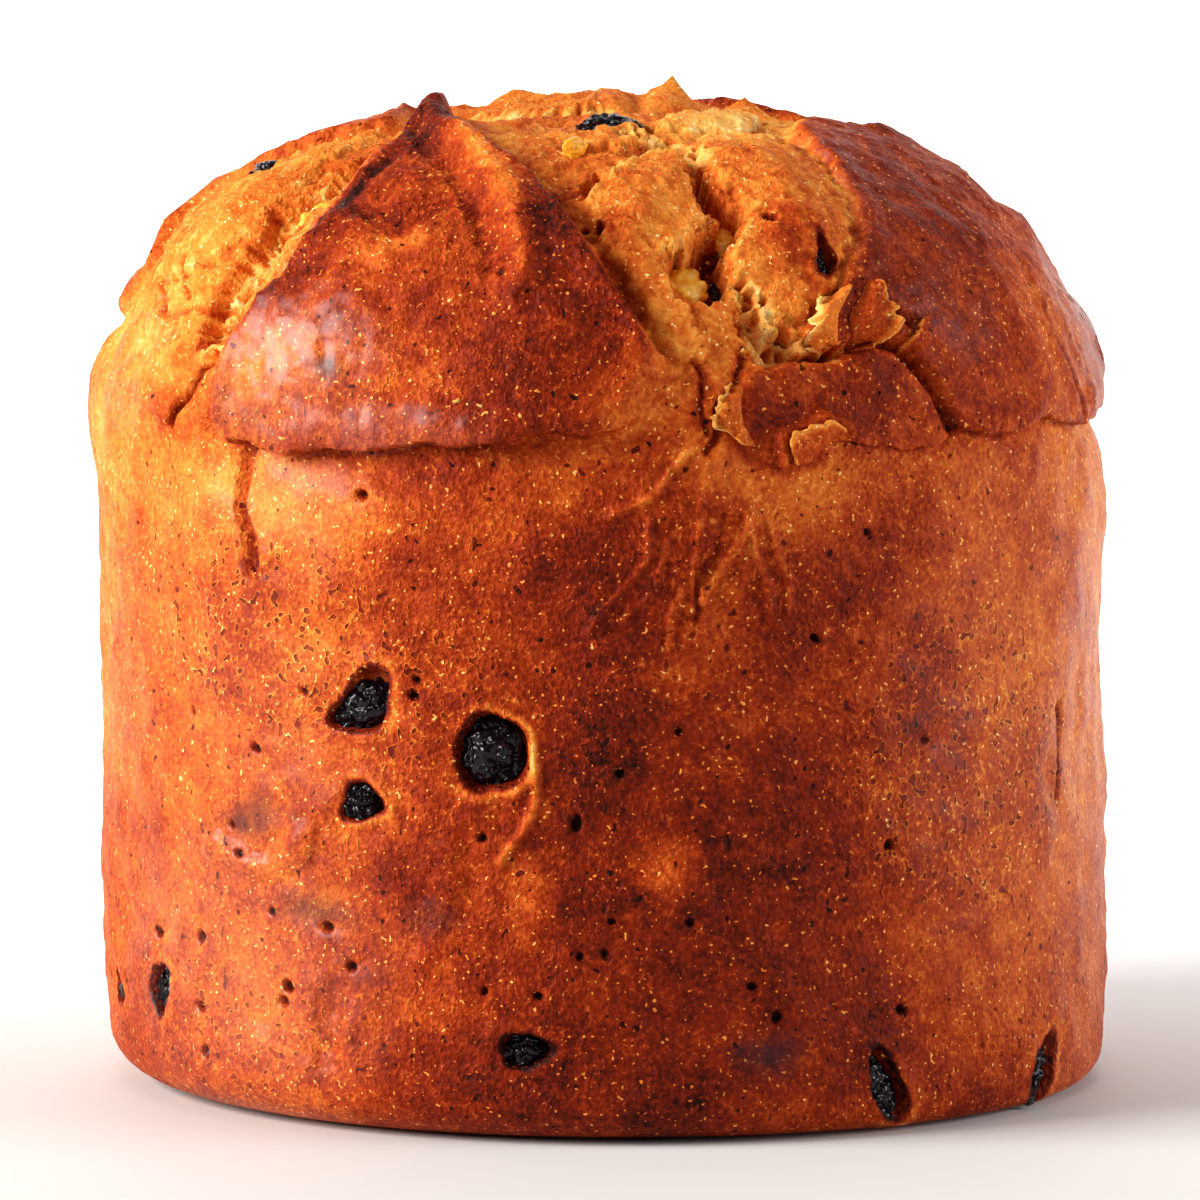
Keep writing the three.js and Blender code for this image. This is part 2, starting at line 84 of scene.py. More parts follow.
# Flaps of browned crust: level, browning, raised rim, depth of the crease below it if it isn't the
# usual one, and outline (bearing, drop, slope at the edge)
FLAPS = {
    "front": dict(level=1.8, bake=0.62, rim=0.5, outline=[
        (-40.8, 34.4, 1.4), (-42.4, 42, 3), (-41, 52, 6), (-40.4, 62, 7), (-41.3, 78, 6), (-45.5, 88, 5),
        (-46.5, 97, 2.5), (-44, 102.8, 1.6), (-22, 102.2, 1.5), (-8, 101.4, 2.4), (2, 98.5, 7),
        (6, 93, 7), (4.6, 86, 2.2), (0, 76.5, 2.4), (-8, 60.4, 2.4), (-15.5, 52.5, 2.4),
        (-25, 45.5, 2), (-35.4, 38.6, 1.5)]),
    "right": dict(level=0.4, bake=0.70, rim=0.5, outline=[
        (52.7, 35.7, 3), (43.5, 45, 2.4), (40.2, 57, 2.2), (36.8, 66.5, 2.2), (31.7, 75.3, 2.2),
        (25.5, 84, 1.6), (23.2, 88.9, 1.2), (29.7, 88.1, 1.2), (36.3, 89.5, 1.2), (40.8, 96, 1.2),
        (43.5, 101, 1.2), (58, 100.8, 1.3), (73, 101.2, 1.3), (92, 100.5, 1.6), (101, 96, 2),
        (104, 82, 2.4), (100, 63, 3), (88, 47, 3), (70, 37, 3)]),
    "plate": dict(level=-0.5, bake=0.68, rim=0.2, crease=0.7, outline=[
        (18.2, 89, 1.2), (23.2, 90.4, 1), (30, 89.8, 1), (36, 91.4, 1), (40, 96.5, 1),
        (43, 101.2, 1), (36, 102.6, 1.4), (28, 101.9, 1.6), (23.5, 104, 1), (20.5, 106, 1),
        (15, 101, 1.2), (16, 94, 1.2)]),
    "left": dict(level=0.5, bake=0.58, rim=0.5, outline=[
        (-62, 36, 3), (-72, 48.5, 2.4), (-83, 57.5, 2.4), (-89, 65, 2.4), (-85, 76, 3),
        (-95, 86, 4), (-117, 97.5, 2), (-140, 101.5, 1.6), (-154, 98, 1.8), (-160, 82, 2.4),
        (-153, 56, 3), (-132, 38, 3), (-96, 29, 3)]),
    "back": dict(level=0.6, bake=0.68, rim=0.5, outline=[
        (136, 30, 3), (119, 48, 3), (112, 70, 2.6), (110, 88, 2), (113, 100.5, 1.5),
        (150, 103, 1.5), (180, 101.5, 1.5), (192, 97, 2), (197, 80, 3), (191, 58, 3),
        (180, 42, 3), (158, 30, 3)]),
}

# Lobes of dough that swell between the tears: level, browning, outline (bearing, drop, slope)
LOBES = {
    "between": (-0.7, 0.42, [
        (-1.2, 62.8, 1.6), (1, 56.5, 1.4), (4.8, 49.9, 1.2), (10.2, 46.6, 1.2), (14.2, 48.2, 0.9),
        (14.4, 54, 0.8), (14.2, 61, 0.8), (14.4, 65.6, 0.8), (12.2, 69.2, 0.8), (9.4, 70.6, 0.8),
        (8.4, 74, 0.8), (8.4, 78, 0.8), (10.2, 82, 0.8), (11.8, 86.5, 0.8), (11.2, 89.6, 1.0),
        (8.6, 88.5, 1.6), (6.4, 84, 2.4), (3.8, 78, 3), (0, 70.5, 3)]),
    "beside": (-0.7, 0.43, [
        (20.2, 44.5, 1.6), (19.4, 50, 0.8), (18.8, 56, 0.8), (20.6, 62.5, 0.8), (19.6, 67.4, 0.8),
        (17.4, 71.6, 0.8), (16.6, 76, 0.8), (17.0, 79.7, 0.8), (18.8, 83, 0.7), (21.6, 84.8, 0.7),
        (24, 85, 0.8), (26.5, 81.2, 1.6), (28.8, 76.2, 2), (33.3, 70.9, 3), (38.2, 62.3, 3),
        (40.5, 53, 3), (41.3, 45, 4), (35.8, 38.7, 4), (26, 38, 4)]),
    "crown": (-0.7, 0.42, [
        (-3.2, 41.1, 1.4), (0, 35.8, 2), (6.3, 31.5, 2), (13.3, 34.4, 1.4), (12.6, 38.4, 0.8),
        (8.8, 40, 0.7), (2, 41.6, 0.8)]),
    "far": (-0.9, 0.38, [
        (24, 26, 3), (36, 22, 2), (60, 22, 2), (62, 28, 2), (47, 33, 1.4), (38, 36, 1.2),
        (26, 35, 1.4), (18, 33, 1.6)]),
    "left": (-0.8, 0.42, [
        (-60, 40, 2), (-70, 49, 2), (-80, 57, 2), (-86, 64, 2), (-81, 70, 1.6), (-74, 76, 1),
        (-68, 79.5, 0.9), (-62, 78, 0.9), (-56.5, 72, 1), (-54.5, 64, 1.2), (-55, 54, 1.6)]),
}

# Openings torn down into the crumb: depth, webs across it, browning (its near-black values in the deep
# openings are painted shade), outline as above
TEARS = [
    (5.4, 0.1, 1.02, [
        (16, 45.9, 1), (18, 47.3, 0.8), (17.7, 56.7, 0.8), (18.2, 60.4, 0.8), (20.2, 63.4, 0.8),
        (19.3, 66.9, 0.8), (17.9, 69.4, 0.8), (17.2, 66.7, 0.8), (15.9, 62.3, 0.8),
        (15, 59.3, 0.8), (15, 52.3, 0.8)]),
    (5.4, 0.1, 0.96, [
        (14.8, 66.4, 0.9), (18.6, 65.5, 0.8), (17.2, 70, 0.8), (16.2, 73.6, 0.8), (16.2, 77, 0.8),
        (15.2, 79.4, 0.9), (12.2, 79.8, 1), (9.8, 78.2, 0.9), (9, 74.6, 0.8), (9.6, 71.6, 0.8),
        (12.6, 69.8, 0.8)]),
    (3.0, 1.0, 0.52, [
        (16.2, 80.6, 0.8), (18.4, 83.8, 0.7), (21.6, 86.2, 0.7), (26.6, 86.6, 0.8),
        (27.6, 88.8, 0.9), (23, 90.3, 0.8), (19.5, 89.8, 0.8), (17, 88, 0.8), (16, 84.5, 0.8)]),
    (2.4, 1.0, 0.34, [
        (-47.4, 58, 1.2), (-45.9, 66, 0.9), (-46.6, 74, 0.9), (-47.4, 80, 0.9), (-48.8, 85, 0.9),
        (-51.3, 89.4, 1), (-54, 86.6, 1), (-54.4, 81, 1), (-53.8, 76, 1),
        (-53.4, 70, 1), (-53, 63, 1.2)]),
    (3.0, 0.2, 0.80, [(-3.4, 54.6, 0.8), (0, 53.4, 0.8), (1.6, 57, 0.9), (0, 60, 0.9),
                      (-2.6, 59.2, 0.9)]),
    (3.4, 0.2, 0.84, [(3.5, 42.4, 0.8), (8.8, 40.6, 0.7), (14.3, 40.8, 0.8), (12.6, 44, 0.8),
                      (7.7, 44.8, 0.8)]),
    (3.0, 0.2, 0.82, [(9.8, 27.6, 0.9), (15.3, 27, 0.9), (19.5, 30, 0.8), (14.6, 33.2, 0.8),
                      (11, 31.6, 0.8)]),
    (2.6, 0.3, 0.66, [(35.6, 36.6, 0.8), (41, 33, 0.8), (49, 30, 0.8), (55, 30.4, 0.8),
                      (47, 35, 0.8), (40, 38.4, 0.8)]),
    (2.4, 1.0, 0.40, [
        (103, 42, 1.2), (106, 54, 1), (105, 66, 1), (106.4, 78, 1), (107, 88, 1), (109, 90, 1),
        (110.4, 78, 1), (109, 64, 1), (109.6, 52, 1), (107, 42, 1.2)]),
    (2.4, 1.0, 0.40, [
        (-160, 40, 1.2), (-162.6, 54, 1), (-163.4, 68, 1), (-164, 82, 1), (-165.6, 92, 1),
        (-168, 88, 1), (-167.4, 72, 1), (-167, 58, 1), (-164.4, 42, 1.2)]),
]

# How far the edges of tears and lobes stray, in millimetres, and the drops between which they do
JAGGED = 1.1
JAGGED_DROPS = (20, 106)

# Where the wall is crinkled as the front flap is: place, reach
CRINKLED = ((8, 124), (34, 26))

# Raised places and hollows: place, height, reach along and down, and True if it comes to a point
SWELLS = [
    ((-40.2, 36.6), 2.5, (8, 10), True), ((128, 25), -1.7, (10, 7)),
    ((113, 12), 4.2, (5, 5), True), ((97, 23), 2.4, (5, 5), True),
    ((103, 17.5), -1.6, (4.5, 4)), ((13.4, 82.5), 0.9, (6, 4)),
    ((-90, 78), -1.6, (16, 8)), ((-92, 38), -2.0, (16, 12)),
    ((-92, 54), -0.9, (12, 7)), ((-92, 93), 0.8, (14, 6)),
    ((88, 78), -2.0, (18, 8)), ((90, 62), -1.9, (16, 7)),
    ((91, 50), -0.6, (14, 8)), ((93, 35), -1.0, (8, 4)),
    ((88, 102), -2.4, (26, 8)), ((88, 111), -1.2, (26, 8)),
    ((-112, 38), -2.4, (28, 11)), ((102, 64), -2.0, (22, 7)),
    ((88, 83), -1.2, (14, 6)),
    ((-90, 101), 1.6, (52, 17)), ((90, 122), 0.8, (40, 18)),
    ((92, 172), 0.5, (50, 34)), ((72, 78), -1.7, (24, 22)),
    ((55, 48), 1.0, (17, 13)), ((-36, 89), 1.6, (24, 14)),
    ((-6, 79), 1.1, (13, 22)), ((2, 62), 1.5, (12, 16)),
    ((27, 62), 1.7, (10, 20)), ((-64, 66), 1.5, (11, 20)),
    ((-25, 112.5), 0.9, (12, 7)), ((-38, 160), 0.8, (22, 12)),
    ((-18, 24), -1.3, (13, 12)), ((48, 20), -1.2, (14, 10)),
    ((7, 167), 1.1, (8, 6)), ((-5, 138), -0.8, (13, 16)),
    ((34, 136), 0.4, (14, 18)), ((-12, 184), 0.7, (18, 10)),
    ((-30, 124), 0.8, (12, 9)), ((38, 176), -0.6, (14, 14)),
    ((-52, 146), -0.7, (12, 18)), ((26, 190), 0.6, (12, 8)),
    ((-42, 182), -0.7, (10, 14)), ((62, 134), 0.6, (12, 22)),
    ((55, 13), 1.5, (7, 6)), ((-75, 13), 1.3, (8, 6)),
    ((175, 10), 1.1, (6, 6)), ((130, 146), 0.9, (20, 14)),
    ((-120, 140), 0.8, (16, 20)),
    ((-150, 178), -0.7, (18, 12)), ((176, 150), 0.8, (16, 18)),
]

# Folds and fissures: height, half-width, browning added along it, mostly painted shade in grooves and
# painted light on ridges, and line (bearing, drop)
FOLDS = [
    (1.5, 4.4, 0.0, [(-38, 40), (-26, 48), (-16.5, 57), (-11, 67), (-8.7, 78)]),
    (0.5, 2.4, -0.22, [(-37, 42), (-26, 48), (-16.5, 57), (-11, 67), (-8.7, 78)]),
    (-0.8, 2.2, 0.08, [(-33, 48), (-22.5, 57), (-16, 67), (-12.6, 76)]),
    (-0.9, 3.6, 0.20, [(-38, 63.5), (-34, 66.8), (-30, 66), (-26, 68), (-22.5, 65.5)]),
    (0.6, 2.6, -0.12, [(-41, 50), (-40.6, 57), (-41.8, 64), (-43.6, 72), (-46, 82)]),
    (-0.7, 2.4, 0.34, [(-34.5, 55.5), (-36.8, 60), (-38.3, 65.5), (-40.3, 73), (-42, 80)]),
    (0.5, 3.0, -0.08, [(-38, 74.5), (-31, 75), (-25, 73.5), (-21, 71)]),
    (0.8, 2.0, 0.08, [(-34, 38), (-24, 45.5), (-15.5, 53.5), (-8, 61.5), (0, 77.5), (4, 87)]),
    (-2.2, 3.4, 0.0, [(-46, 47), (-47.5, 60), (-50, 72), (-50.6, 86)]),
    (-2.4, 1.3, 0.35, [(-48.8, 90), (-51.8, 95), (-55.2, 98.6), (-55.8, 101)]),
    (-0.9, 0.9, 0.2, [(-75, 77), (-70.8, 80.2), (-65, 83.8), (-59, 85), (-53, 81)]),
    (-1.0, 0.9, 0.25, [(-63.2, 76), (-63, 80), (-60, 81.6)]),
    (0.8, 1.6, -0.10, [(-1.2, 62.8), (1, 56.5), (4.8, 49.9), (10.2, 46.9), (14.6, 48.6)]),
    (-1.6, 1.1, 0.2, [(16, 88), (15.2, 93), (12.8, 97), (13, 100), (11.6, 103.4)]),
    (-1.1, 0.9, 0.2, [(10.3, 89), (11.4, 92), (10.6, 96), (11.4, 100.4)]),
    (-1.8, 1.1, 0.25, [(23, 89.6), (30, 88.9), (36.4, 90.4), (40.4, 96.4), (43.5, 101)]),
    (0.8, 1.6, -0.05, [(53, 36), (43.5, 45.4), (40.6, 57), (36.4, 67), (31, 76.6), (25, 86)]),
    (1.4, 1.1, -0.1, [(20.3, 105), (20.5, 101.6), (24.7, 99.4), (28, 100)]),
    (1.3, 1.1, -0.1, [(30.4, 87.4), (31.6, 83.6), (34.4, 80.6)]),
    (-1.5, 1.6, 0.1, [(33.4, 86.6), (35.6, 83.6), (38, 86)]),
    (-1.6, 1.2, 0.2, [(66, 84), (66.6, 91), (68, 96), (70, 101)]),
    (-1.2, 1.1, 0.15, [(84, 92), (83, 98), (85, 102)]),
    (-1.9, 1.9, 0.18, [(-42.7, 104.5), (-43.4, 112), (-41.7, 118), (-41.7, 122)]),
    (0.8, 0.8, -0.16, [(9.7, 103.6), (7.7, 106), (6.2, 109.6), (1, 112.9)]),
    (1.0, 0.8, -0.12, [(15.7, 111.7), (15.7, 114.7), (14, 118.9), (11.3, 123.3), (10.8, 125)]),
    (0.7, 0.7, -0.10, [(15.9, 114), (16.6, 118), (18.4, 122), (18.8, 128), (21, 131)]),
    (0.6, 0.6, -0.08, [(18, 112.8), (18.9, 117), (20.8, 122), (20.6, 127)]),
    (0.7, 0.7, -0.10, [(5.4, 113), (4.6, 118.7), (3.2, 121.7), (0.4, 126), (-1, 130)]),
    (0.6, 0.6, -0.08, [(10.8, 110.3), (10.9, 115.9), (9.9, 121), (9.7, 127)]),
    (0.6, 0.6, -0.08, [(7.4, 115), (6, 121), (5.6, 124), (2.6, 127.4)]),
    (0.7, 0.8, -0.12, [(8.4, 124), (7.2, 128.6), (7.6, 131)]),
    (-0.7, 0.9, 0.08, [(13.2, 113), (12.6, 118), (10.4, 121), (10.2, 128)]),
    (0.9, 1.1, -0.28, [(-8.6, 144), (-7.2, 149), (-7.4, 154), (-8.8, 159), (-11, 163.6)]),
    (-1.3, 0.9, 0.40, [(62.6, 145), (63.2, 150), (62.4, 155), (62.8, 159)]),
    (0.9, 3.0, -0.05, [(-48, 164), (-43, 165.4), (-38, 164.6), (-34, 161)]),
    (-0.7, 3.4, 0.05, [(-31.5, 184), (-32.2, 198)]),
    (0.5, 2.8, -0.04, [(-16.7, 161), (-17.4, 170), (-19, 176)]),
    (-3.2, 3.4, 0.0, [(104, 30), (106, 50), (106, 70), (107, 92)]),
    (-3.2, 3.4, 0.0, [(-160, 26), (-164, 48), (-166, 70), (-166, 94)]),
    (-1.5, 1.4, 0.2, [(-166, 94), (-168, 101), (-165, 108)]),
    (-1.4, 1.4, 0.2, [(107, 92), (105, 99), (107, 107)]),
    (-1.2, 2.4, 0.0, [(20, 15), (60, 7), (150, 6)]),
]

# Strips where the crumb tore open into holes and webs: half-width, depth, line
SPONGE = [
    (4.6, 2.2, [(-46, 44), (-47, 56), (-49.5, 68), (-50.4, 80), (-50, 90)]),
    (2.4, 1.2, [(17.4, 79), (21, 87), (28, 89)]),
    (3.4, 1.4, [(9, 37), (16, 42), (19, 47)]),
    (5.0, 2.2, [(104, 34), (106, 60), (107, 86)]),
    (5.0, 2.2, [(-160, 30), (-164, 56), (-166, 84)]),
    (2.6, 1.2, [(-60, 24), (-30, 17), (0, 15)]),
]

# Patches of deeper (above 0) or paler browning, some of them painted light and shade: place, reach along
# and down, amount
TONES = [
    # Partly painted light: the patches on this line make the wall paler at its left, where the key light
    # falls
    ((-88, 124), (62, 90), -0.16), ((-70, 104), (26, 18), -0.06), ((-45, 112), (26, 14), -0.22),
    # Partly painted shade: the patches at (3, 152) and, next line, (0, 196) make the middle and foot of
    # the wall darker, away from the side lights
    ((-34, 132), (12, 10), -0.06), ((-36, 190), (24, 20), -0.02), ((3, 152), (50, 74), 0.19),
    ((0, 196), (60, 24), 0.20), ((-2, 124), (16, 22), 0.10), ((-18, 107), (16, 5), 0.16),
    ((22, 108), (12, 10), -0.12), ((12, 104), (9, 7), -0.16), ((24, 166), (32, 54), 0.11),
    ((44, 200), (30, 14), 0.12), ((70, 150), (30, 60), -0.02), ((100, 150), (40, 70), 0.02),
    ((-22, 97), (26, 5), 0.06), ((-8, 88), (15, 14), 0.12), ((0, 84), (8, 12), 0.22),
    ((3, 98), (9, 6), -0.10),
    # Painted highlight: the patch at (-38, 93), and the one at (-35, 94) further down, make the front
    # flap paler where it shines low at its left
    ((-40, 50), (5, 10), -0.14), ((-38, 93), (18, 11), -0.15),
    ((-30, 58), (10, 10), 0.02), ((-7, 70), (9, 22), 0.18), ((-34, 170), (24, 16), -0.02),
    ((-22, 82), (8, 14), 0.04), ((28, 88), (12, 8), 0.05), ((48, 62), (14, 20), 0.06),
    ((68, 86), (20, 16), -0.14), ((2, 76), (6, 14), 0.14), ((24, 72), (6, 14), 0.14),
    ((-70, 66), (24, 26), 0.06), ((-64, 90), (18, 12), -0.12), ((-13, 192), (40, 10), 0.05),
    ((-8, 168), (6, 8), -0.20), ((7, 163), (8, 6), -0.22), ((50, 30), (26, 14), -0.10),
    ((13, 110), (12, 12), -0.07),
    ((18, 132), (12, 14), 0.06), ((34, 118), (14, 20), 0.10), ((12, 126), (8, 9), -0.12),
    ((5, 66), (7, 10), 0.02), ((-48, 56), (7, 16), 0.06), ((-12, 62), (5, 14), -0.12),
    ((-28, 68), (8, 9), -0.08),
    ((0, 113), (6, 9), 0.16), ((-37, 44), (10, 14), 0.26), ((30, 96), (14, 7), 0.08),
    ((-56, 176), (16, 16), -0.14), ((-25, 113), (12, 9), -0.12), ((-24, 172), (12, 14), 0.10),
    ((2.4, 68), (6, 6), 0.06), ((27, 124), (12, 14), 0.08), ((34, 190), (14, 12), 0.08),
    ((20, 99), (8, 6), 0.10), ((0, 140), (10, 12), 0.06), ((36, 36), (14, 8), -0.10),
    ((-34, 76), (14, 8), -0.06), ((39, 142), (13, 17), 0.13), ((42, 162), (12, 18), 0.09),
    ((31, 190), (10, 10), 0.10), ((22, 126), (12, 14), 0.05), ((0, 146), (12, 16), 0.08),
    ((-4, 176), (16, 30), 0.05), ((-66, 196), (24, 12), 0.10), ((30, 70), (12, 16), 0.07),
    ((-39, 77), (9, 13), 0.26), ((-35, 94), (14, 7), -0.03), ((-24, 74), (12, 10), -0.10),
    ((-33, 45), (9, 9), 0.24), ((-70, 178), (18, 24), 0.06), ((39, 133), (10, 10), 0.12),
    ((28, 181), (12, 11), 0.16),
    ((-20, 163), (11, 10), 0.11), ((-31, 181), (16, 10), 0.08), ((-6, 119), (9, 9), 0.06),
    ((0, 136), (11, 11), 0.10), ((-60, 170), (20, 20), 0.05), ((-8, 56), (8, 8), 0.05),
    ((7, 165), (7, 6), -0.10), ((-30, 186), (14, 10), -0.06),
]

# The browning beyond which patches hardly darken the skin, and the share they then lose
DARKEST_SKIN, DARK_LOSS = 0.80, 0.75

# Glossy places, mostly where the crust rolls over: place, reach, amount
GLOSS = [
    ((-36, 92), (20, 13), 0.72), ((-42, 70), (6, 11), 0.3), ((-24, 100), (20, 4), 0.7),
    ((84, 90), (26, 18), 0.75), ((70, 150), (32, 64), 0.5), ((-46, 180), (34, 30), 0.75),
    ((-44, 146), (26, 22), 0.35), ((-40, 112), (24, 9), 0.4), ((-68, 92), (15, 13), 0.5),
    ((44, 66), (18, 26), 0.3), ((-120, 84), (24, 18), 0.6), ((150, 84), (24, 18), 0.6),
    ((130, 150), (40, 50), 0.3), ((-120, 150), (40, 50), 0.3),
]

# Grey and blue-black shadows of fruit just under the skin: place, reach, amount
SMUDGES = [
    ((-42, 158), (8, 4), 0.75), ((-33.5, 171), (9, 4), 0.7), ((-19, 172), (6, 4), 0.6),
    ((-30.5, 92), (4, 2.4), 0.8), ((-42, 99), (9, 5), 0.35), ((-48, 114), (2, 3), 0.5),
    ((17.5, 190), (8, 3.6), 0.9), ((-30, 86), (8, 3), 0.2), ((120, 160), (8, 4), 0.5),
    ((-140, 150), (7, 5), 0.4), ((170, 182), (9, 4), 0.6), ((60, 160), (5, 3), 0.2),
]

# Pits in the skin that can be told apart: place and radius
PITS = [
    ((-39.3, 172.3), 0.9), ((-31.8, 174), 1.1), ((-51.3, 177.9), 1.0), ((-28.8, 180), 1.0),
    ((-37.7, 182.8), 1.2), ((-38.3, 185.6), 1.1), ((-51.8, 187.9), 1.2), ((-50.8, 195.6), 1.2),
    ((-13, 159.5), 1.0), ((-3, 156.9), 1.1), ((0.8, 171.6), 0.8), ((9.2, 170.7), 0.9),
    ((16, 180.9), 0.9), ((18.7, 185.8), 1.1), ((34.3, 185.1), 1.2), ((-7.2, 182.1), 0.9),
    ((-13, 181.9), 0.8), ((-2.7, 176.3), 0.7), ((0, 176), 0.7), ((-20.7, 139.5), 1.1),
    ((-20.3, 136.6), 0.9), ((-41.3, 148.8), 1.1), ((-52.8, 144.1), 0.8), ((-34, 139.4), 0.8),
    ((2.2, 149.2), 0.9), ((8.3, 144.3), 0.8), ((23.7, 129.7), 0.9), ((30.2, 115.4), 0.7),
    ((38.2, 146.7), 0.8), ((-43.5, 163.9), 1.0), ((-26.5, 110.5), 1.2), ((-11, 78), 0.7),
    ((22.5, 66.5), 1.1), ((0.2, 68.4), 1.3), ((-2.4, 67.8), 1.0), ((33, 161.5), 1.1),
    ((-45.2, 159.4), 1.0), ((-60.5, 178), 1.0),
    ((140, 150), 1.1), ((-120, 176), 1.2), ((172, 142), 1.0), ((96, 184), 1.2), ((-150, 126), 1.0),
]

# Bands where the skin is rough with open pores: place, reach, amount
PORES = [
    ((-40, 131), (30, 18), 0.9), ((45, 150), (30, 30), 0.9), ((-20, 140), (20, 16), 0.6),
    ((-45, 190), (40, 20), 0.4), ((10, 135), (16, 12), 0.4), ((120, 140), (40, 30), 0.8),
    ((-130, 160), (40, 34), 0.8), ((175, 130), (36, 20), 0.6), ((60, 190), (30, 14), 0.4),
]

# Holes in the skin over the fruit: half-length and half-width, pointedness, raised rim
HOLES = {
    "raisin_window": (5.6, 3.3, 0.45, 0.3), "raisin_large": (5.6, 5.3, 0.05, 0.7),
    "raisin_small": (3.5, 2.9, 0.3, 0.3), "raisin_low_left": (3.6, 2.8, 0.2, 0.2),
    "raisin_split": (3.8, 2.3, 0.1, 0.3), "raisin_long": (6.0, 2.4, 0.1, 0.2),
    "raisin_right": (5.8, 3.0, 0.1, 0.2), "raisin_edge": (3.2, 2.2, 0.1, 0.2),
    "raisin_slot": (3.6, 1.7, 0.3, 0.1), "raisin_back_a": (5.6, 3.8, 0.3, 0.4),
    "raisin_back_b": (4.0, 3.6, 0.1, 0.4), "raisin_back_c": (5.0, 4.6, 0.1, 0.5),
    "raisin_back_d": (5.6, 3.4, 0.3, 0.3), "raisin_back_e": (5.0, 2.9, 0.2, 0.3),
    "raisin_back_f": (4.6, 3.8, 0.2, 0.5), "raisin_back_g": (5.0, 3.0, 0.3, 0.3),
    "peel_back_c": (3.0, 2.0, 0.2, 0.2),
}
HOLE_DEPTH = 2.9

# The crust's mesh: the drop of its first row, and its rows across the base
FIRST_ROW = 1.6
BASE_ROWS = 6

# Where faces are halved once, twice and three times: drops, bearings, and nearness to an edge
FINE_DROPS = (8, 206)
FINER_DROPS, NEAR_EDGE = (26, 207), 2.2
SHOWN_TOP_DROPS, SHOWN_TOP_BEARINGS = (32, 106), (-74, 74)
FINEST_DROPS, FINEST_BEARINGS, AT_EDGE = (28, 207), (-92, 92), 0.7


def smooth(value, low, high):
    """0 below low, 1 above high, eased between."""
    t = np.clip((np.asarray(value, float) - low) / (high - low), 0.0, 1.0)
    return t * t * (3.0 - 2.0 * t)


def mix(a, b, share):
    return a + (b - a) * share


def between(values, band):
    """Which values lie inside a band (low, high)."""
    return (values > band[0]) & (values < band[1])


def outline_table():
    """Drops with the radius and height of the plain form, from the crown to the base's middle."""
    turn = np.linspace(0.0, math.pi / 2, 500)
    radius = LOAF_RADIUS * np.sin(turn) ** (2 / DOME_POWER)
    rise = (LOAF_HEIGHT - DOME_FOOT) * np.clip(np.cos(turn), 0, 1) ** (2 / DOME_POWER)
    corner = np.linspace(0.0, math.pi / 2, 60)
    inset = CORNER_IN * (1 - np.clip(np.cos(corner), 0, 1) ** 0.9)
    radii = np.concatenate([radius, LOAF_RADIUS - inset, [0.0]])
    heights = np.concatenate([DOME_FOOT + rise, CORNER_UP * (1 - np.sin(corner) ** 0.9), [0.0]])
    steps = np.hypot(np.diff(radii), np.diff(heights))
    return np.concatenate([[0.0], np.cumsum(steps)]), radii, heights


DROPS, RADII, HEIGHTS = outline_table()
BASE_DROP = float(DROPS[-2])
LAST_DROP = float(DROPS[-1])


def plain(bearing, drop):
    """Points of the plain form, with its tighter right corner and its lean."""
    bearing = np.asarray(bearing, float)
    radius = np.interp(drop, DROPS, RADII)
    height = np.interp(drop, DROPS, HEIGHTS)
    corner = 1 - TIGHT_SHARE * np.exp(-(((bearing - TIGHT_BEARING) / TIGHT_SPREAD) ** 2))
    wall_r = LOAF_RADIUS - corner * (LOAF_RADIUS - radius)
    base_r = (LOAF_RADIUS - corner * CORNER_IN) * radius / (LOAF_RADIUS - CORNER_IN)
    low_r = np.where(np.asarray(drop) > BASE_DROP, base_r, wall_r)
    low = height < DOME_FOOT
    r = np.where(low, low_r, radius)
    z = np.where(low, height * mix(corner, 1.0, smooth(height, 0.0, CORNER_FADE)), height)
    lean = LEAN * (1 - smooth(height, 0.0, LEAN_TOP))
    turn = np.radians(bearing)
    return np.stack([r * np.sin(turn) + lean, -r * np.cos(turn), z], -1)


def directions(bearing, drop):
    """Unit vectors on the crust: to the right, down, and out of it."""
    turn = np.radians(np.asarray(bearing, float))
    right = np.stack([np.cos(turn), np.sin(turn), np.zeros_like(turn)], -1)
    middle = np.clip(drop, 0.1, LAST_DROP - 0.1)
    down = plain(bearing, middle + 0.05) - plain(bearing, middle - 0.05)
    down /= np.linalg.norm(down, axis=-1, keepdims=True)
    out = np.cross(down, right)
    return right, down, out / np.linalg.norm(out, axis=-1, keepdims=True)


def unevenness(p, length, seed):
    """A smooth uneven field between -1 and 1, of crossing waves of about that length."""
    k = 2 * math.pi / length
    x, y, z = p[..., 0], p[..., 1], p[..., 2]
    a = np.sin(k * (x + 0.6 * z) + seed + 1.3 * np.sin(k * 0.7 * y + 2 * seed))
    b = np.sin(k * (0.8 * y - 0.7 * z) + 3 * seed + 1.1 * np.sin(k * 0.6 * x + seed))
    c = np.sin(k * (0.9 * z + 0.5 * x - 0.4 * y) + 5 * seed)
    return (a + b + c) / 3


def grain(points, size, seed, octaves=3, where=None):
    """Fractal noise of about that size in mm at the points, or only where asked."""
    values = np.zeros(len(points))
    chosen = range(len(points)) if where is None else np.flatnonzero(where)
    scaled = points / size + np.array([seed * 7.3, seed * 3.1, -seed * 5.7])
    for i in chosen:
        values[i] = noise.fractal(scaled[i], 1.0, 2.1, octaves)
    return values


def cells(points, size, where):
    """0 on the webs between cells of about that size, to 1 in their middles."""
    values = np.zeros(len(points))
    for i in np.flatnonzero(where):
        near = noise.voronoi(Vector(points[i] / size))[0]
        values[i] = near[1] - near[0]
    return smooth(values, 0.06, 0.5)


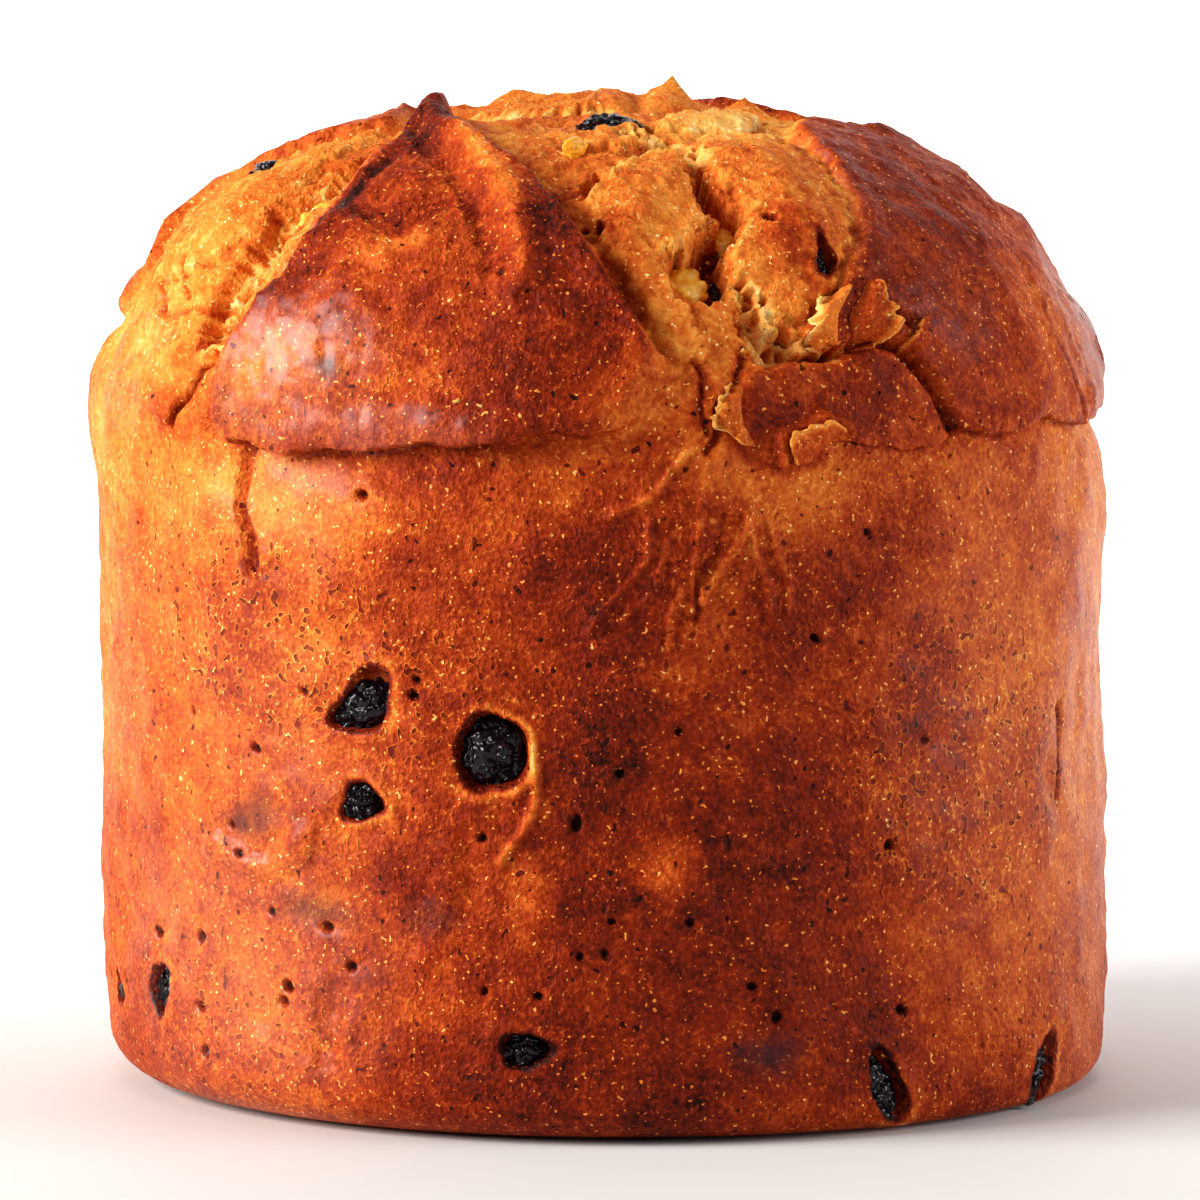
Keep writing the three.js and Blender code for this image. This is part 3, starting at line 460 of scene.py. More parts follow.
def trace(knots, closed=False, step=3.0):
    """A smooth line through knots (bearing, drop, ...): its places, and its points in space."""
    knots = np.array(knots, float)
    n = len(knots)
    spans = n if closed else n - 1
    rows = []
    for i in range(spans):
        at = [(i + k) % n if closed else min(max(i + k, 0), n - 1) for k in (-1, 0, 1, 2)]
        a, b, c, d = knots[at]
        ends = plain(np.array([b[0], c[0]]), np.array([b[1], c[1]]))
        count = max(1, round(float(np.linalg.norm(ends[1] - ends[0])) / step))
        for t in np.arange(count) / count:
            rows.append(b + 0.5 * t * (c - a + t * (2 * a - 5 * b + 4 * c - d
                                                   + t * (3 * (b - c) + d - a))))
    rows.append(rows[0] if closed else knots[-1])
    places = np.array(rows)
    return places, plain(places[:, 0], places[:, 1])


def near_line(points, line, reach):
    """Which points lie within reach of the line's box, their distance to it, and how far along."""
    lo, hi = line.min(0) - reach, line.max(0) + reach
    near = np.flatnonzero(((points > lo) & (points < hi)).all(1))
    spot = points[near]
    best = np.full(len(near), np.inf)
    along = np.zeros(len(near))
    for i, (a, b) in enumerate(zip(line, line[1:])):
        ab = b - a
        t = np.clip((spot - a) @ ab / max(float(ab @ ab), 1e-9), 0.0, 1.0)
        gap = np.linalg.norm(spot - a - t[:, None] * ab, axis=1)
        closer = gap < best
        best[closer] = gap[closer]
        along[closer] = i + t[closer]
    return near, best, along


def inside(bearing, drop, places):
    """Whether each place lies within a closed outline of places."""
    middle = places[:, 0].mean()
    b = bearing - 360 * np.round((bearing - middle) / 360)
    crossed = np.zeros(len(b), bool)
    for (b0, d0, *_), (b1, d1, *_) in zip(places, places[1:]):
        spans = (d0 > drop) != (d1 > drop)
        if d1 != d0:
            crossed ^= spans & (b < b0 + (drop - d0) / (d1 - d0) * (b1 - b0))
    return crossed


def share_at(points, place, reach):
    """Distance from a place as a share of its reach along and down the crust, at most 1."""
    middle = plain(*place)
    right, down, out = directions(*place)
    gap = points - middle
    far = np.hypot(gap @ right / reach[0], gap @ down / reach[1])
    return np.where(np.abs(gap @ out) < 3 * max(reach) + 6, np.minimum(far, 1.0), 1.0)


FLAP_LINES = {name: trace(flap["outline"], closed=True) for name, flap in FLAPS.items()}
LOBE_LINES = [(level, bake, *trace(line, closed=True)) for level, bake, line in LOBES.values()]
TEAR_LINES = [(*row[:3], *trace(row[3], closed=True, step=1.5)) for row in TEARS]
FOLD_LINES = [(out, half, tone, trace(line)[1]) for out, half, tone, line in FOLDS]
SPONGE_LINES = [(half, depth, trace(line)[1]) for half, depth, line in SPONGE]


class Survey:
    """What the crust does at many places: its height, its slide down, and its paint."""

    def __init__(self, bearing, drop, fine=True):
        self.bearing, self.drop = bearing, drop
        start = plain(bearing, drop)
        wander = unevenness(start, 17, 1.9) * EDGE_WANDER
        fading = smooth(-drop, -RAGGED_END, -RAGGED_FROM)
        ragged = grain(start, 4.5, 3, 3) * RAGGED_EDGE * fading if fine else 0.0
        self.b = bearing + (wander + ragged) * (NARROW_DROP / np.maximum(drop, NARROW_DROP))
        self.d = drop + smooth(drop, 8, 30) * (unevenness(start, 15, 4.1) * EDGE_WANDER + ragged)
        self.points = plain(self.b, self.d)
        self.sharp = np.full(len(drop), 99.0)
        torn = between(drop, JAGGED_DROPS)
        self.jag = grain(start, 1.9, 8, 2, where=torn) * JAGGED if fine else 0.0
        self.lay_flaps()
        self.lay_lobes()
        self.lay_swells()
        self.lay_folds()
        self.lay_tears()
        self.lay_sponge()
        self.lay_holes()
        self.lay_pits()
        self.paint_patches()
        if fine:
            self.roughen()
        keep = 1 - smooth(drop, REACH_OF_RELIEF - 14, REACH_OF_RELIEF)
        self.level *= keep
        self.plain_level = self.level
        self.level = self.level + self.hole_level

    def edge_of(self, places, line, reach):
        """How far each point is inside a closed outline, and how wide the slope is there."""
        near, gap, along = near_line(self.points, line, reach)
        within = inside(self.b, self.d, places)
        signed = np.where(within, 99.0, -99.0)
        signed[near] = np.where(within[near], gap, -gap)
        width = np.full(len(self.d), 3.0)
        width[near] = np.interp(along, np.arange(len(places)), places[:, 2])
        return signed, width

    def jagged_edge(self, places, line):
        signed, width = self.edge_of(places, line, 8.0)
        return signed + self.jag, width

    def lay_lobes(self):
        for level, bake, places, line in LOBE_LINES:
            signed, width = self.jagged_edge(places, line)
            share = smooth(signed, -width / 3, width / 3) * (1 - self.cover)
            dome = 0.6 * smooth(signed, 0, 7)
            self.level = mix(self.level, level + dome, share)
            self.bake = mix(self.bake, bake, share)
            self.bake -= 0.12 * share * np.exp(-((signed / 0.9) ** 2))
            self.sharp = np.minimum(self.sharp, np.abs(signed) + width * 0.5)

    def lay_tears(self):
        self.sponge = np.zeros(len(self.d))
        for depth, web, bake, places, line in TEAR_LINES:
            signed, width = self.jagged_edge(places, line)
            share = smooth(signed, -width / 4, width / 3)
            self.level -= depth * share
            # Painted shade: the deep openings are browned near black inside
            self.bake = mix(self.bake, bake, smooth(signed, 0.2, 1.4))
            self.sponge = np.maximum(self.sponge, web * smooth(signed, 0.0, 1.2))
            self.cover *= 1 - share
            self.sharp = np.minimum(self.sharp, np.abs(signed) - 0.5)

    def lay_flaps(self):
        d = self.d
        self.torn = 1 - smooth(d, *TORN_FADE)
        self.level = TORN_LEVEL * self.torn * smooth(d, 4, 20)
        self.bake = mix(0.56, 0.46, self.torn)
        self.cover = np.zeros(len(d))
        self.slide = np.zeros(len(d))
        self.front = np.zeros(len(d))
        for name, flap in FLAPS.items():
            signed, width = self.edge_of(*FLAP_LINES[name], 26.0)
            cover = smooth(signed, -width / 2, width / 2)
            hang = smooth(d, CREASE_FROM, CREASE_FROM + 6)
            beyond = np.maximum(-signed, 0.0)
            crease = flap.get("crease", CREASE_DEPTH) * np.exp(-beyond / CREASE_REACH)
            self.level -= crease * (1 - cover) * hang * (signed < 0)
            rim = flap["rim"] * np.exp(-(((signed - 2.2) / 2.0) ** 2))
            self.level = mix(self.level, flap["level"] + rim, cover)
            self.bake = mix(self.bake, flap["bake"], smooth(signed, -1.0, 1.6))
            self.slide += LIP_SAG * hang * np.exp(-(((signed - 0.9) / 1.3) ** 2))
            # Painted shadow: a dark line just outside each flap's edge, in the crease under its lip
            self.bake += 0.16 * hang * np.exp(-(((signed + 0.6) / 0.9) ** 2))
            self.cover = np.maximum(self.cover, cover)
            self.sharp = np.minimum(self.sharp, np.abs(signed) - width * 0.3)
            if name == "front":
                self.front = cover

    def lay_swells(self):
        for place, out, reach, *peak in SWELLS:
            far = share_at(self.points, place, reach)
            self.level += out * ((1 - far) ** 1.5 if peak else (1 - far ** 2) ** 2)

    def lay_folds(self):
        for out, half, tone, line in FOLD_LINES:
            near, gap, _ = near_line(self.points, line, half * 1.5)
            share = np.minimum(gap / half, 1.0)
            shape = (1 - share ** 2) ** 1.5 if half > 2 else (1 - share) ** 1.1
            self.level[near] += out * shape
            # Painted light and shade: grooves are mostly darkened and ridges made paler
            self.bake[near] += tone * (1 - share)
            self.sharp[near] = np.minimum(self.sharp[near], gap - half)

    def lay_sponge(self):
        for half, depth, line in SPONGE_LINES:
            near, gap, _ = near_line(self.points, line, half)
            share = (1 - smooth(gap, half * 0.5, half)) * (1 - self.cover[near])
            self.sponge[near] = np.maximum(self.sponge[near], share)
            self.level[near] -= 0.35 * depth * share
        open_crumb = self.sponge > 0.02
        cell = cells(self.points * np.array([1, 1, 0.8]), 2.5, open_crumb)
        fine_cell = cells(self.points, 1.5, open_crumb)
        self.level -= self.sponge * (2.3 * cell + 0.5 * fine_cell)
        # Painted shade: the crumb is pale on its webs and darker towards the sunken middles of its holes
        self.bake = mix(self.bake, 0.16 + 0.44 * cell, self.sponge * 0.85)
        self.sharp = np.minimum(self.sharp, np.where(self.sponge > 0.3, 0.0, 99.0))

    def lay_holes(self):
        self.hole_level = np.zeros(len(self.d))
        for name, (length, width, point, rim) in HOLES.items():
            place, turn = FRUIT_PLACES[name]
            right, down, out = directions(*place)
            gap = self.points - plain(*place)
            near = np.flatnonzero((np.abs(gap) < length + 6).all(1))
            x, y = gap[near] @ right, -(gap[near] @ down)
            along = x * math.cos(turn) + y * math.sin(turn)
            across = y * math.cos(turn) - x * math.sin(turn)
            taper = 1 - point * np.clip(along / length, -1, 1)
            share = np.hypot(along / length, across / (width * taper))
            angle = np.arctan2(across, along)
            share *= 1 + 0.07 * np.sin(3 * angle + length) + 0.05 * np.sin(5 * angle + 2 * width)
            edge = (share - 1) * width
            self.hole_level[near] -= HOLE_DEPTH * (1 - smooth(edge, -0.7, 0.1))
            side = 0.5 + 0.5 * np.cos(angle + turn)
            self.hole_level[near] += rim * side * np.exp(-(((edge - 0.9) / 0.9) ** 2))
            # Painted shade: a dark band just inside each hole's edge
            self.bake[near] += 0.30 * np.exp(-((edge / 0.5) ** 2)) * (edge < 0.4)
            self.bake[near] -= 0.5 * rim * side * np.exp(-(((edge - 0.8) / 0.6) ** 2))
            self.sharp[near] = np.minimum(self.sharp[near], np.abs(edge) - 0.8)

    def lay_pits(self):
        for place, radius in PITS:
            gap = np.linalg.norm(self.points - plain(*place), axis=1)
            near = gap < radius
            shape = (1 - (gap[near] / radius) ** 2) ** 1.2
            self.level[near] -= 1.3 * radius * shape
            # Painted shade: each pit is darker inside, most at its middle
            self.bake[near] += 0.5 * shape
            self.sharp = np.minimum(self.sharp, gap - radius + 0.3)

    def paint_patches(self):
        before = self.bake.copy()
        for place, reach, amount in TONES:
            self.bake += amount * (1 - share_at(self.points, place, reach) ** 2) ** 2
        self.bake -= DARK_LOSS * np.maximum(self.bake - DARKEST_SKIN, 0) * (before < DARKEST_SKIN)
        self.smudge = self.strongest(SMUDGES, 1.5)
        self.pore = self.strongest(PORES, 1)
        self.gloss = self.strongest(GLOSS, 1)
        self.fresh = self.torn * (1 - self.cover)

    def strongest(self, patches, power):
        """The largest amount that any patch gives each point, fading to 0 at its reach."""
        values = np.zeros(len(self.d))
        for place, reach, amount in patches:
            far = share_at(self.points, place, reach)
            values = np.maximum(values, amount * (1 - far ** 2) ** power)
        return values

    def roughen(self):
        points = self.points
        broad = grain(points, 16.0, 1, 2)
        middle = grain(points, 5.0, 2, 3)
        small = grain(points, 1.7, 4, 2)
        self.mottle = 0.4 * grain(points, 2.2, 12, 2)
        self.level += unevenness(points, 34, 0.8) * 0.35 + broad * 0.42
        self.level += middle * mix(0.46, 0.70, self.fresh)
        self.level += small * mix(0.14 + 0.14 * self.pore, 0.26, self.fresh)
        crinkle = 1 - 2 * np.abs(grain(points * np.array([1.0, 1.0, 1.6]), 3.4, 6, 2))
        far = share_at(points, *CRINKLED)
        crinkled = np.maximum(self.front + 1.5 * self.fresh, 0.8 * (1 - far ** 2))
        self.level += 0.28 * crinkled * np.maximum(crinkle, 0) ** 2
        self.bake += (0.06 + 0.07 * self.bake) * broad + 0.06 * middle
        # Painted light: the small bumps and the crinkles' ridges, which stand out, are made paler
        self.bake -= (0.06 * small + 0.05 * np.maximum(crinkle, 0)) * (0.4 + self.fresh)


def place_near(point, count):
    """Bearing and drop of the place on the plain form nearest the point, out of a count tried."""
    bearing = math.degrees(math.atan2(point[0], -point[1]))
    table = np.linspace(1.0, BASE_DROP, count)
    gaps = np.linalg.norm(plain(np.full(count, bearing), table) - point, axis=1)
    return bearing, float(table[gaps.argmin()])


def fruit_places():
    """Where each fruit lies: its place on the crust and the turn of its length, from its solid."""
    places = {}
    for name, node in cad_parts.items():
        if name == "loaf":
            continue
        co = np.array([v.co for v in node.data.vertices]) / MM
        middle = co.mean(0)
        spread = np.linalg.svd(co - middle, full_matrices=False)[2][0]
        place = place_near(middle, 900)
        right, down, _ = directions(*place)
        places[name] = (place, math.atan2(-(spread @ down), spread @ right))
    return places


FRUIT_PLACES = fruit_places()


# Curled flakes of skin: the line they are rooted on, their free edge, how far it lifts, browning
FLAKES = {
    "flake_curl": dict(lift=2.2, bake=0.58, root=[(23.8, 105.4), (25.4, 103), (28.6, 101.2)],
                       free=[(19.8, 105.0), (20.4, 101.2), (25.8, 98.4)]),
    "flake_tongue": dict(lift=1.5, bake=0.50, root=[(16.0, 93.8), (16.0, 98), (17.4, 101.6)],
                         free=[(13.6, 92.8), (11.9, 98.4), (13.4, 101.4)]),
    "flake_window": dict(lift=2.6, bake=0.60, root=[(29.8, 89.2), (29.0, 84.4), (33.2, 78.8)],
                         free=[(34.8, 88.6), (33.6, 85.2), (34.8, 80.2)]),
    "flake_corner": dict(lift=1.4, bake=0.66, root=[(37.4, 91.0), (40.2, 88.2), (40.8, 84.6)],
                         free=[(35.4, 88.8), (37.4, 86.6), (38.8, 84.2)]),
    "flake_tear": dict(lift=1.8, bake=0.40, root=[(27.6, 88.6), (28.0, 84.4), (30.2, 80.2)],
                       free=[(22.4, 88.4), (24.6, 83.4), (28.0, 79.2)]),
    "flake_back": dict(lift=1.8, bake=0.58, root=[(108, 97), (106, 100.5), (109, 104)],
                       free=[(105.6, 97.4), (103.8, 101), (106.6, 104.4)]),
    "flake_side": dict(lift=1.6, bake=0.58, root=[(-163, 95), (-165, 99), (-163, 103)],
                       free=[(-165.4, 95.6), (-167.4, 99.4), (-165.2, 103.6)]),
}
FLAKE_STEPS = (26, 10)
FLAKE_THICKNESS = 0.45

# Crumbs: strips that they lie along, half-width of the strip, how many, smallest and largest
CRUMB_STRIPS = [
    ([(14, 66), (12.6, 74), (13.2, 82), (14.6, 90)], 2.6, 26, (0.3, 0.9)),
    ([(-47, 50), (-49.6, 66), (-50.6, 80), (-50.2, 90)], 2.8, 60, (0.35, 1.1)),
    ([(12.6, 94), (11.2, 101), (9, 105)], 1.6, 14, (0.3, 0.8)),
    ([(24, 88.8), (30, 88.6), (37, 91)], 0.9, 14, (0.3, 0.9)),
    ([(106, 40), (106.6, 62), (107, 90)], 3.2, 46, (0.4, 1.3)),
    ([(-161, 36), (-165, 60), (-166, 90)], 3.2, 46, (0.4, 1.3)),
    ([(-15.5, 96.4), (-12, 97.2), (-8.5, 99)], 0.8, 6, (0.8, 1.5)),
]
CRUMB_SEED = 12

# How far each raisin's top stands over the crust, and the height of those not listed
RAISIN_TOPS = {"raisin_crown": 1.9, "raisin_shoulder": 1.2, "raisin_slot": -0.7,
               "raisin_cavity": -0.4, "raisin_back_h": 1.4, "raisin_back_i": 1.4}
RAISIN_TOP = 0.1

# Peel made a little larger than its solid: wider, taller, and moved out by millimetres
PEEL_SIZES = {"peel_chunk": (1.3, 1.3, 3.2), "peel_shard": (0.8, 2.0, 2.2),
              "peel_green": (1.2, 1.7, 2.4), "peel_orange": (1.1, 1.1, 0.5)}


def columns_of(values):
    """The rows of a table of numbers as floats, ready for a mesh attribute."""
    return np.ascontiguousarray(values, dtype=np.float32).ravel()


def new_object(name, bm, material):
    """A smooth object of the mesh, in the scene, at the origin, with its material."""
    mesh = bpy.data.meshes.new(name)
    bm.to_mesh(mesh)
    bm.free()
    mesh.shade_smooth()
    mesh.materials.append(material)
    piece = bpy.data.objects.new(name, mesh)
    bpy.context.scene.collection.objects.link(piece)
    return piece


def paint(piece, name, rows):
    """Stores three values for each vertex, for the materials to read."""
    layer = piece.data.attributes.new(name, "FLOAT_COLOR", "POINT")
    rows = np.column_stack([*rows, np.ones(len(rows[0]))])
    layer.data.foreach_set("color", columns_of(rows))


def paint_simply(piece, bake, fresh):
    """Paints a piece's browning and its freshness, with no mottle and no marks."""
    bake = np.resize(bake, len(piece.data.vertices))
    nothing = np.zeros(len(bake))
    paint(piece, "look", (bake, nothing + fresh, nothing))
    paint(piece, "marks", (nothing, nothing, nothing))


def belongs(piece, material_slot, *nodes):
    """The piece goes with the loaf's one body and stands for the CAD nodes named."""
    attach(piece, "root")
    if nodes:
        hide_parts(*nodes)


def crust_chart(columns, row_step):
    """The crust as a chart round the Z axis, a unit out and its drop down, closed at both ends."""
    bm = bmesh.new()
    rows = round((BASE_DROP - FIRST_ROW) / row_step)
    drops = np.linspace(FIRST_ROW, BASE_DROP, rows + 1)
    drops = np.concatenate([drops, np.linspace(BASE_DROP, LAST_DROP, BASE_ROWS + 2)[1:-1]])
    line = [bm.verts.new((0, -1, -d)) for d in drops]
    edges = [bm.edges.new(pair) for pair in zip(line, line[1:])]
    bmesh.ops.spin(bm, geom=line + edges, cent=(0, 0, 0), axis=(0, 0, 1), angle=2 * math.pi,
                   steps=columns, use_merge=True)
    rims = [e for e in bm.edges if e.is_boundary]
    caps = bmesh.ops.holes_fill(bm, edges=rims)["faces"]
    for middle in bmesh.ops.poke(bm, faces=caps)["verts"]:
        middle.co.z = 0.0 if middle.co.z > -10 else -LAST_DROP
    return bm


def places_of(coordinates):
    """Bearing and drop of points on the chart."""
    co = np.array(coordinates, float).reshape(-1, 3)
    return np.degrees(np.arctan2(co[:, 0], -co[:, 1])), -co[:, 2]


def refine(bm, wanted):
    """Halves the edges of every face that wanted() picks by bearing, drop and sharpness, each edge
    once and always in the same order."""
    bm.faces.ensure_lookup_table()
    bearing, drop = places_of([f.calc_center_median() for f in bm.faces])
    rough = Survey(bearing, drop, fine=False)
    chosen = np.flatnonzero(wanted(bearing, drop, rough))
    edges = dict.fromkeys(e for i in chosen for e in bm.faces[i].edges)
    bmesh.ops.subdivide_edges(bm, edges=list(edges), cuts=1, use_grid_fill=True)


def crust_places(survey):
    """Points of the crust in metres, from a survey."""
    _, down, out = directions(survey.bearing, survey.drop)
    points = plain(survey.bearing, survey.drop)
    return (points + out * survey.level[:, None] + down * survey.slide[:, None]) * MM


class Shader:
    """A material's nodes, added and joined by short calls; sizes are in millimetres."""

    def __init__(self, name):
        self.material = bpy.data.materials.new(name)
        self.material.use_nodes = True
        self.nodes = self.material.node_tree.nodes
        self.links = self.material.node_tree.links
        self.nodes.clear()
        self.surface = self.add("ShaderNodeBsdfPrincipled")
        output = self.add("ShaderNodeOutputMaterial")
        self.links.new(self.surface.outputs["BSDF"], output.inputs["Surface"])
        coordinates = self.add("ShaderNodeTexCoord")
        self.place = self.vector("SCALE", coordinates.outputs["Object"], scale=1 / MM)

    def add(self, kind, **settings):
        node = self.nodes.new(kind)
        for name, value in settings.items():
            setattr(node, name, value)
        return node

    def feed(self, socket, value):
        if isinstance(value, bpy.types.NodeSocket):
            self.links.new(value, socket)
        else:
            socket.default_value = value

    def set(self, **values):
        for name, value in values.items():
            self.feed(self.surface.inputs[name.replace("_", " ")], value)

    def vector(self, operation, a, b=None, scale=None):
        node = self.add("ShaderNodeVectorMath", operation=operation)
        self.feed(node.inputs[0], a)
        if b is not None:
            self.feed(node.inputs[1], b)
        if scale is not None:
            self.feed(node.inputs["Scale"], scale)
        return node.outputs["Vector"]

    def math(self, operation, *values, clamp=False):
        node = self.add("ShaderNodeMath", operation=operation, use_clamp=clamp)
        for socket, value in zip(node.inputs, values):
            self.feed(socket, value)
        return node.outputs[0]

    def sum(self, *terms):
        """Adds (amount, value) terms; a bare value counts as it is."""
        total = None
        for term in terms:
            amount, value = term if isinstance(term, tuple) else (1.0, term)
            part = self.math("MULTIPLY", value, amount)
            total = part if total is None else self.math("ADD", total, part)
        return total

    def times(self, a, b):
        return self.math("MULTIPLY", a, b)

    def step(self, value, low, high):
        """0 at low and 1 at high, eased between, whichever of the two is larger."""
        node = self.add("ShaderNodeMapRange", interpolation_type="SMOOTHSTEP")
        for socket, given in zip(node.inputs, (value, low, high, 0.0, 1.0)):
            self.feed(socket, given)
        return node.outputs["Result"]

    def noise(self, size, detail=2.0, stretch=None, seed=0.0):
        """Soft noise from -0.5 to 0.5 with features of about that size."""
        place = self.vector("MULTIPLY", self.place, stretch) if stretch else self.place
        if seed:
            place = self.vector("ADD", place, (seed, -seed, 2 * seed))
        node = self.add("ShaderNodeTexNoise")
        self.feed(node.inputs["Vector"], place)
        self.feed(node.inputs["Scale"], 1 / size)
        self.feed(node.inputs["Detail"], detail)
        self.feed(node.inputs["Roughness"], 0.6)
        return self.math("SUBTRACT", node.outputs[0], 0.5)

    def ridges(self, size, stretch=None, seed=0.0):
        """1 along wandering lines that are about that far apart, falling to 0 between them."""
        gap = self.math("ABSOLUTE", self.noise(size, 0.0, stretch, seed))
        return self.step(gap, 0.05, 0.0)

    def blend(self, share, a, b):
        node = self.add("ShaderNodeMix", data_type="RGBA")
        for socket, value in zip((node.inputs[0], node.inputs[6], node.inputs[7]), (share, a, b)):
            self.feed(socket, value)
        return node.outputs[2]

    def ramp(self, value, stops):
        node = self.add("ShaderNodeValToRGB")
        self.feed(node.inputs[0], value)
        elements = node.color_ramp.elements
        elements[0].position, elements[1].position = stops[0][0], stops[-1][0]
        for position, _ in stops[1:-1]:
            elements.new(position)
        for element, (_, colour) in zip(elements, stops):
            element.color = shade(*colour)
        return node.outputs["Color"]

    def stored(self, name):
        """The three values painted on the piece under that name."""
        attribute = self.add("ShaderNodeAttribute", attribute_name=name)
        parts = self.add("ShaderNodeSeparateColor")
        self.feed(parts.inputs[0], attribute.outputs["Color"])
        return parts.outputs[:3]

    def relief(self, height):
        """Makes the height, in millimetres, show in the light."""
        node = self.add("ShaderNodeBump")
        self.feed(node.inputs["Distance"], MM)
        self.feed(node.inputs["Height"], height)
        self.set(Normal=node.outputs["Normal"])


def shade(red, green, blue):
    """A colour as it looks on a screen, 0 to 255, as linear light."""
    parts = [c / 255 for c in (red, green, blue)]
    return (*[c / 12.92 if c < 0.04 else ((c + 0.055) / 1.055) ** 2.4 for c in parts], 1.0)


# Colours of the crust by its browning, from pale crumb to the darkest skin
BAKING = [
    (0.00, (253, 226, 162)), (0.14, (248, 186, 94)), (0.30, (233, 139, 50)),
    (0.44, (206, 97, 30)), (0.58, (167, 58, 13)), (0.72, (128, 33, 5)), (0.86, (92, 21, 5)),
    (1.00, (36, 8, 4)),
]


def crust_material():
    """Browned crust and torn crumb, by the browning painted on the piece."""
    s = Shader("baked_crust")
    bake, fresh, mottle = s.stored("look")
    smudge, pore, gloss = s.stored("marks")
    # Fine grain, raised in the relief below: paler on its crests and darker in its dips, which is
    # painted light and shade
    fine = s.noise(0.8, 1.0, seed=9.0)
    froth = s.noise(1.25, 0.0, seed=31.0)
    # Pale specks: partly golden specks of the crust, partly painted glints
    specks_and_glints = s.step(s.noise(0.6, 0.0, seed=17.0), 0.25, 0.30)
    open_skin = s.step(pore, 0.05, 0.6)
    # Pores and pinholes, sunk in the relief and painted darker inside, which is painted shade
    holes = s.times(s.step(froth, -0.17, -0.25), open_skin)
    pinholes = s.times(s.step(froth, -0.29, -0.33), s.step(fresh, 0.6, 0.1))
    holes = s.math("MAXIMUM", holes, pinholes)
    # Raised rims round the pores, painted paler, which is painted light
    rims = s.times(s.step(froth, -0.06, -0.15), open_skin)
    hairs = s.times(s.ridges(1.5, stretch=(1.0, 1.0, 0.8), seed=3.0), s.step(fine, -0.16, 0.12))
    strength = s.sum(0.42, (1.0, bake))
    tone = s.sum(bake, s.times(strength, s.sum(
        (0.27, mottle), (-0.34, fine), (-0.40, specks_and_glints), (-0.12, hairs), (-0.16, rims))),
        (0.32, holes))
    colour = s.ramp(tone, BAKING)
    shadow = s.math("MULTIPLY", smudge, s.sum(0.9, (0.8, mottle)), clamp=True)
    colour = s.blend(shadow, colour, shade(44, 28, 34))
    s.relief(s.sum((0.44, fine), (-0.55, holes), (0.12, hairs), (0.10, rims)))
    rough = s.sum(0.52, (0.2, mottle), (0.2, fresh))
    s.set(Base_Color=colour, Roughness=rough, Specular_IOR_Level=0.06,
          Coat_Weight=s.times(gloss, s.sum(0.9, (0.9, mottle))), Coat_Roughness=0.36)
    return s.material


def raisin_material():
    """Glossy blue-black dried fruit with fine wrinkles."""
    s = Shader("dried_raisin")
    bloom = s.step(s.noise(2.2, 1.0), 0.05, 0.4)
    colour = s.blend(bloom, shade(9, 4, 10), shade(38, 18, 32))
    s.relief(s.sum((0.36, s.ridges(1.5, seed=7.0)), (0.36, s.noise(0.9, 0.0, seed=13.0))))
    s.set(Base_Color=colour, Roughness=0.14, Specular_IOR_Level=0.24)
    return s.material


def peel_material():
    """Candied peel: glossy and amber."""
    s = Shader("candied_peel")
    colour = s.ramp(s.sum(0.5, (1.2, s.noise(2.5, 1.0))), [
        (0.0, (253, 220, 120)), (0.5, (252, 180, 44)), (1.0, (232, 122, 12))])
    s.relief(s.sum((0.3, s.noise(1.4, 1.0))))
    s.set(Base_Color=colour, Roughness=0.26, Specular_IOR_Level=0.3)
    return s.material


def material(name, make):
    """The material of that name, made once."""
    return bpy.data.materials.get(name) or make()


class LoafSettings(bpy.types.PropertyGroup):
    columns: IntProperty(
        name="Columns", description="Vertices round the crust before it is refined",
        default=160, min=48, max=240)
    row_step: FloatProperty(
        name="Row step", description="Distance between rows, in millimetres, before refining",
        default=3.0, min=1.5, max=8.0)


class FruitSettings(bpy.types.PropertyGroup):
    wrinkle: FloatProperty(
        name="Wrinkles", description="Depth of the raisins' wrinkles, in millimetres",
        default=0.9, min=0.0, max=1.5)
    cuts: IntProperty(
        name="Cuts", description="Cuts along each edge of the fruit's solids",
        default=4, min=1, max=6)


class StageSettings(bpy.types.PropertyGroup):
    key: FloatProperty(
        name="Key light", description="Power of the large light at the left",
        default=52.5, min=0.0, unit="POWER")
    fill: FloatProperty(
        name="Fill light", description="Power of the soft light at the right",
        default=15.0, min=0.0, unit="POWER")
    top: FloatProperty(
        name="Top light", description="Power of the light overhead",
        default=5.0, min=0.0, unit="POWER")
    backdrop_light: FloatProperty(
        name="Backdrop light", description="Power of the light that falls on the backdrop only",
        default=50.0, min=0.0, unit="POWER")
    surroundings: FloatProperty(
        name="Surroundings", description="Strength of the pale light from all sides",
        default=0.12, min=0.0)
    floor: FloatVectorProperty(
        name="Floor", description="Colour of the floor and the backdrop",
        subtype="COLOR", default=(0.72, 0.71, 0.70), min=0.0, max=1.0)


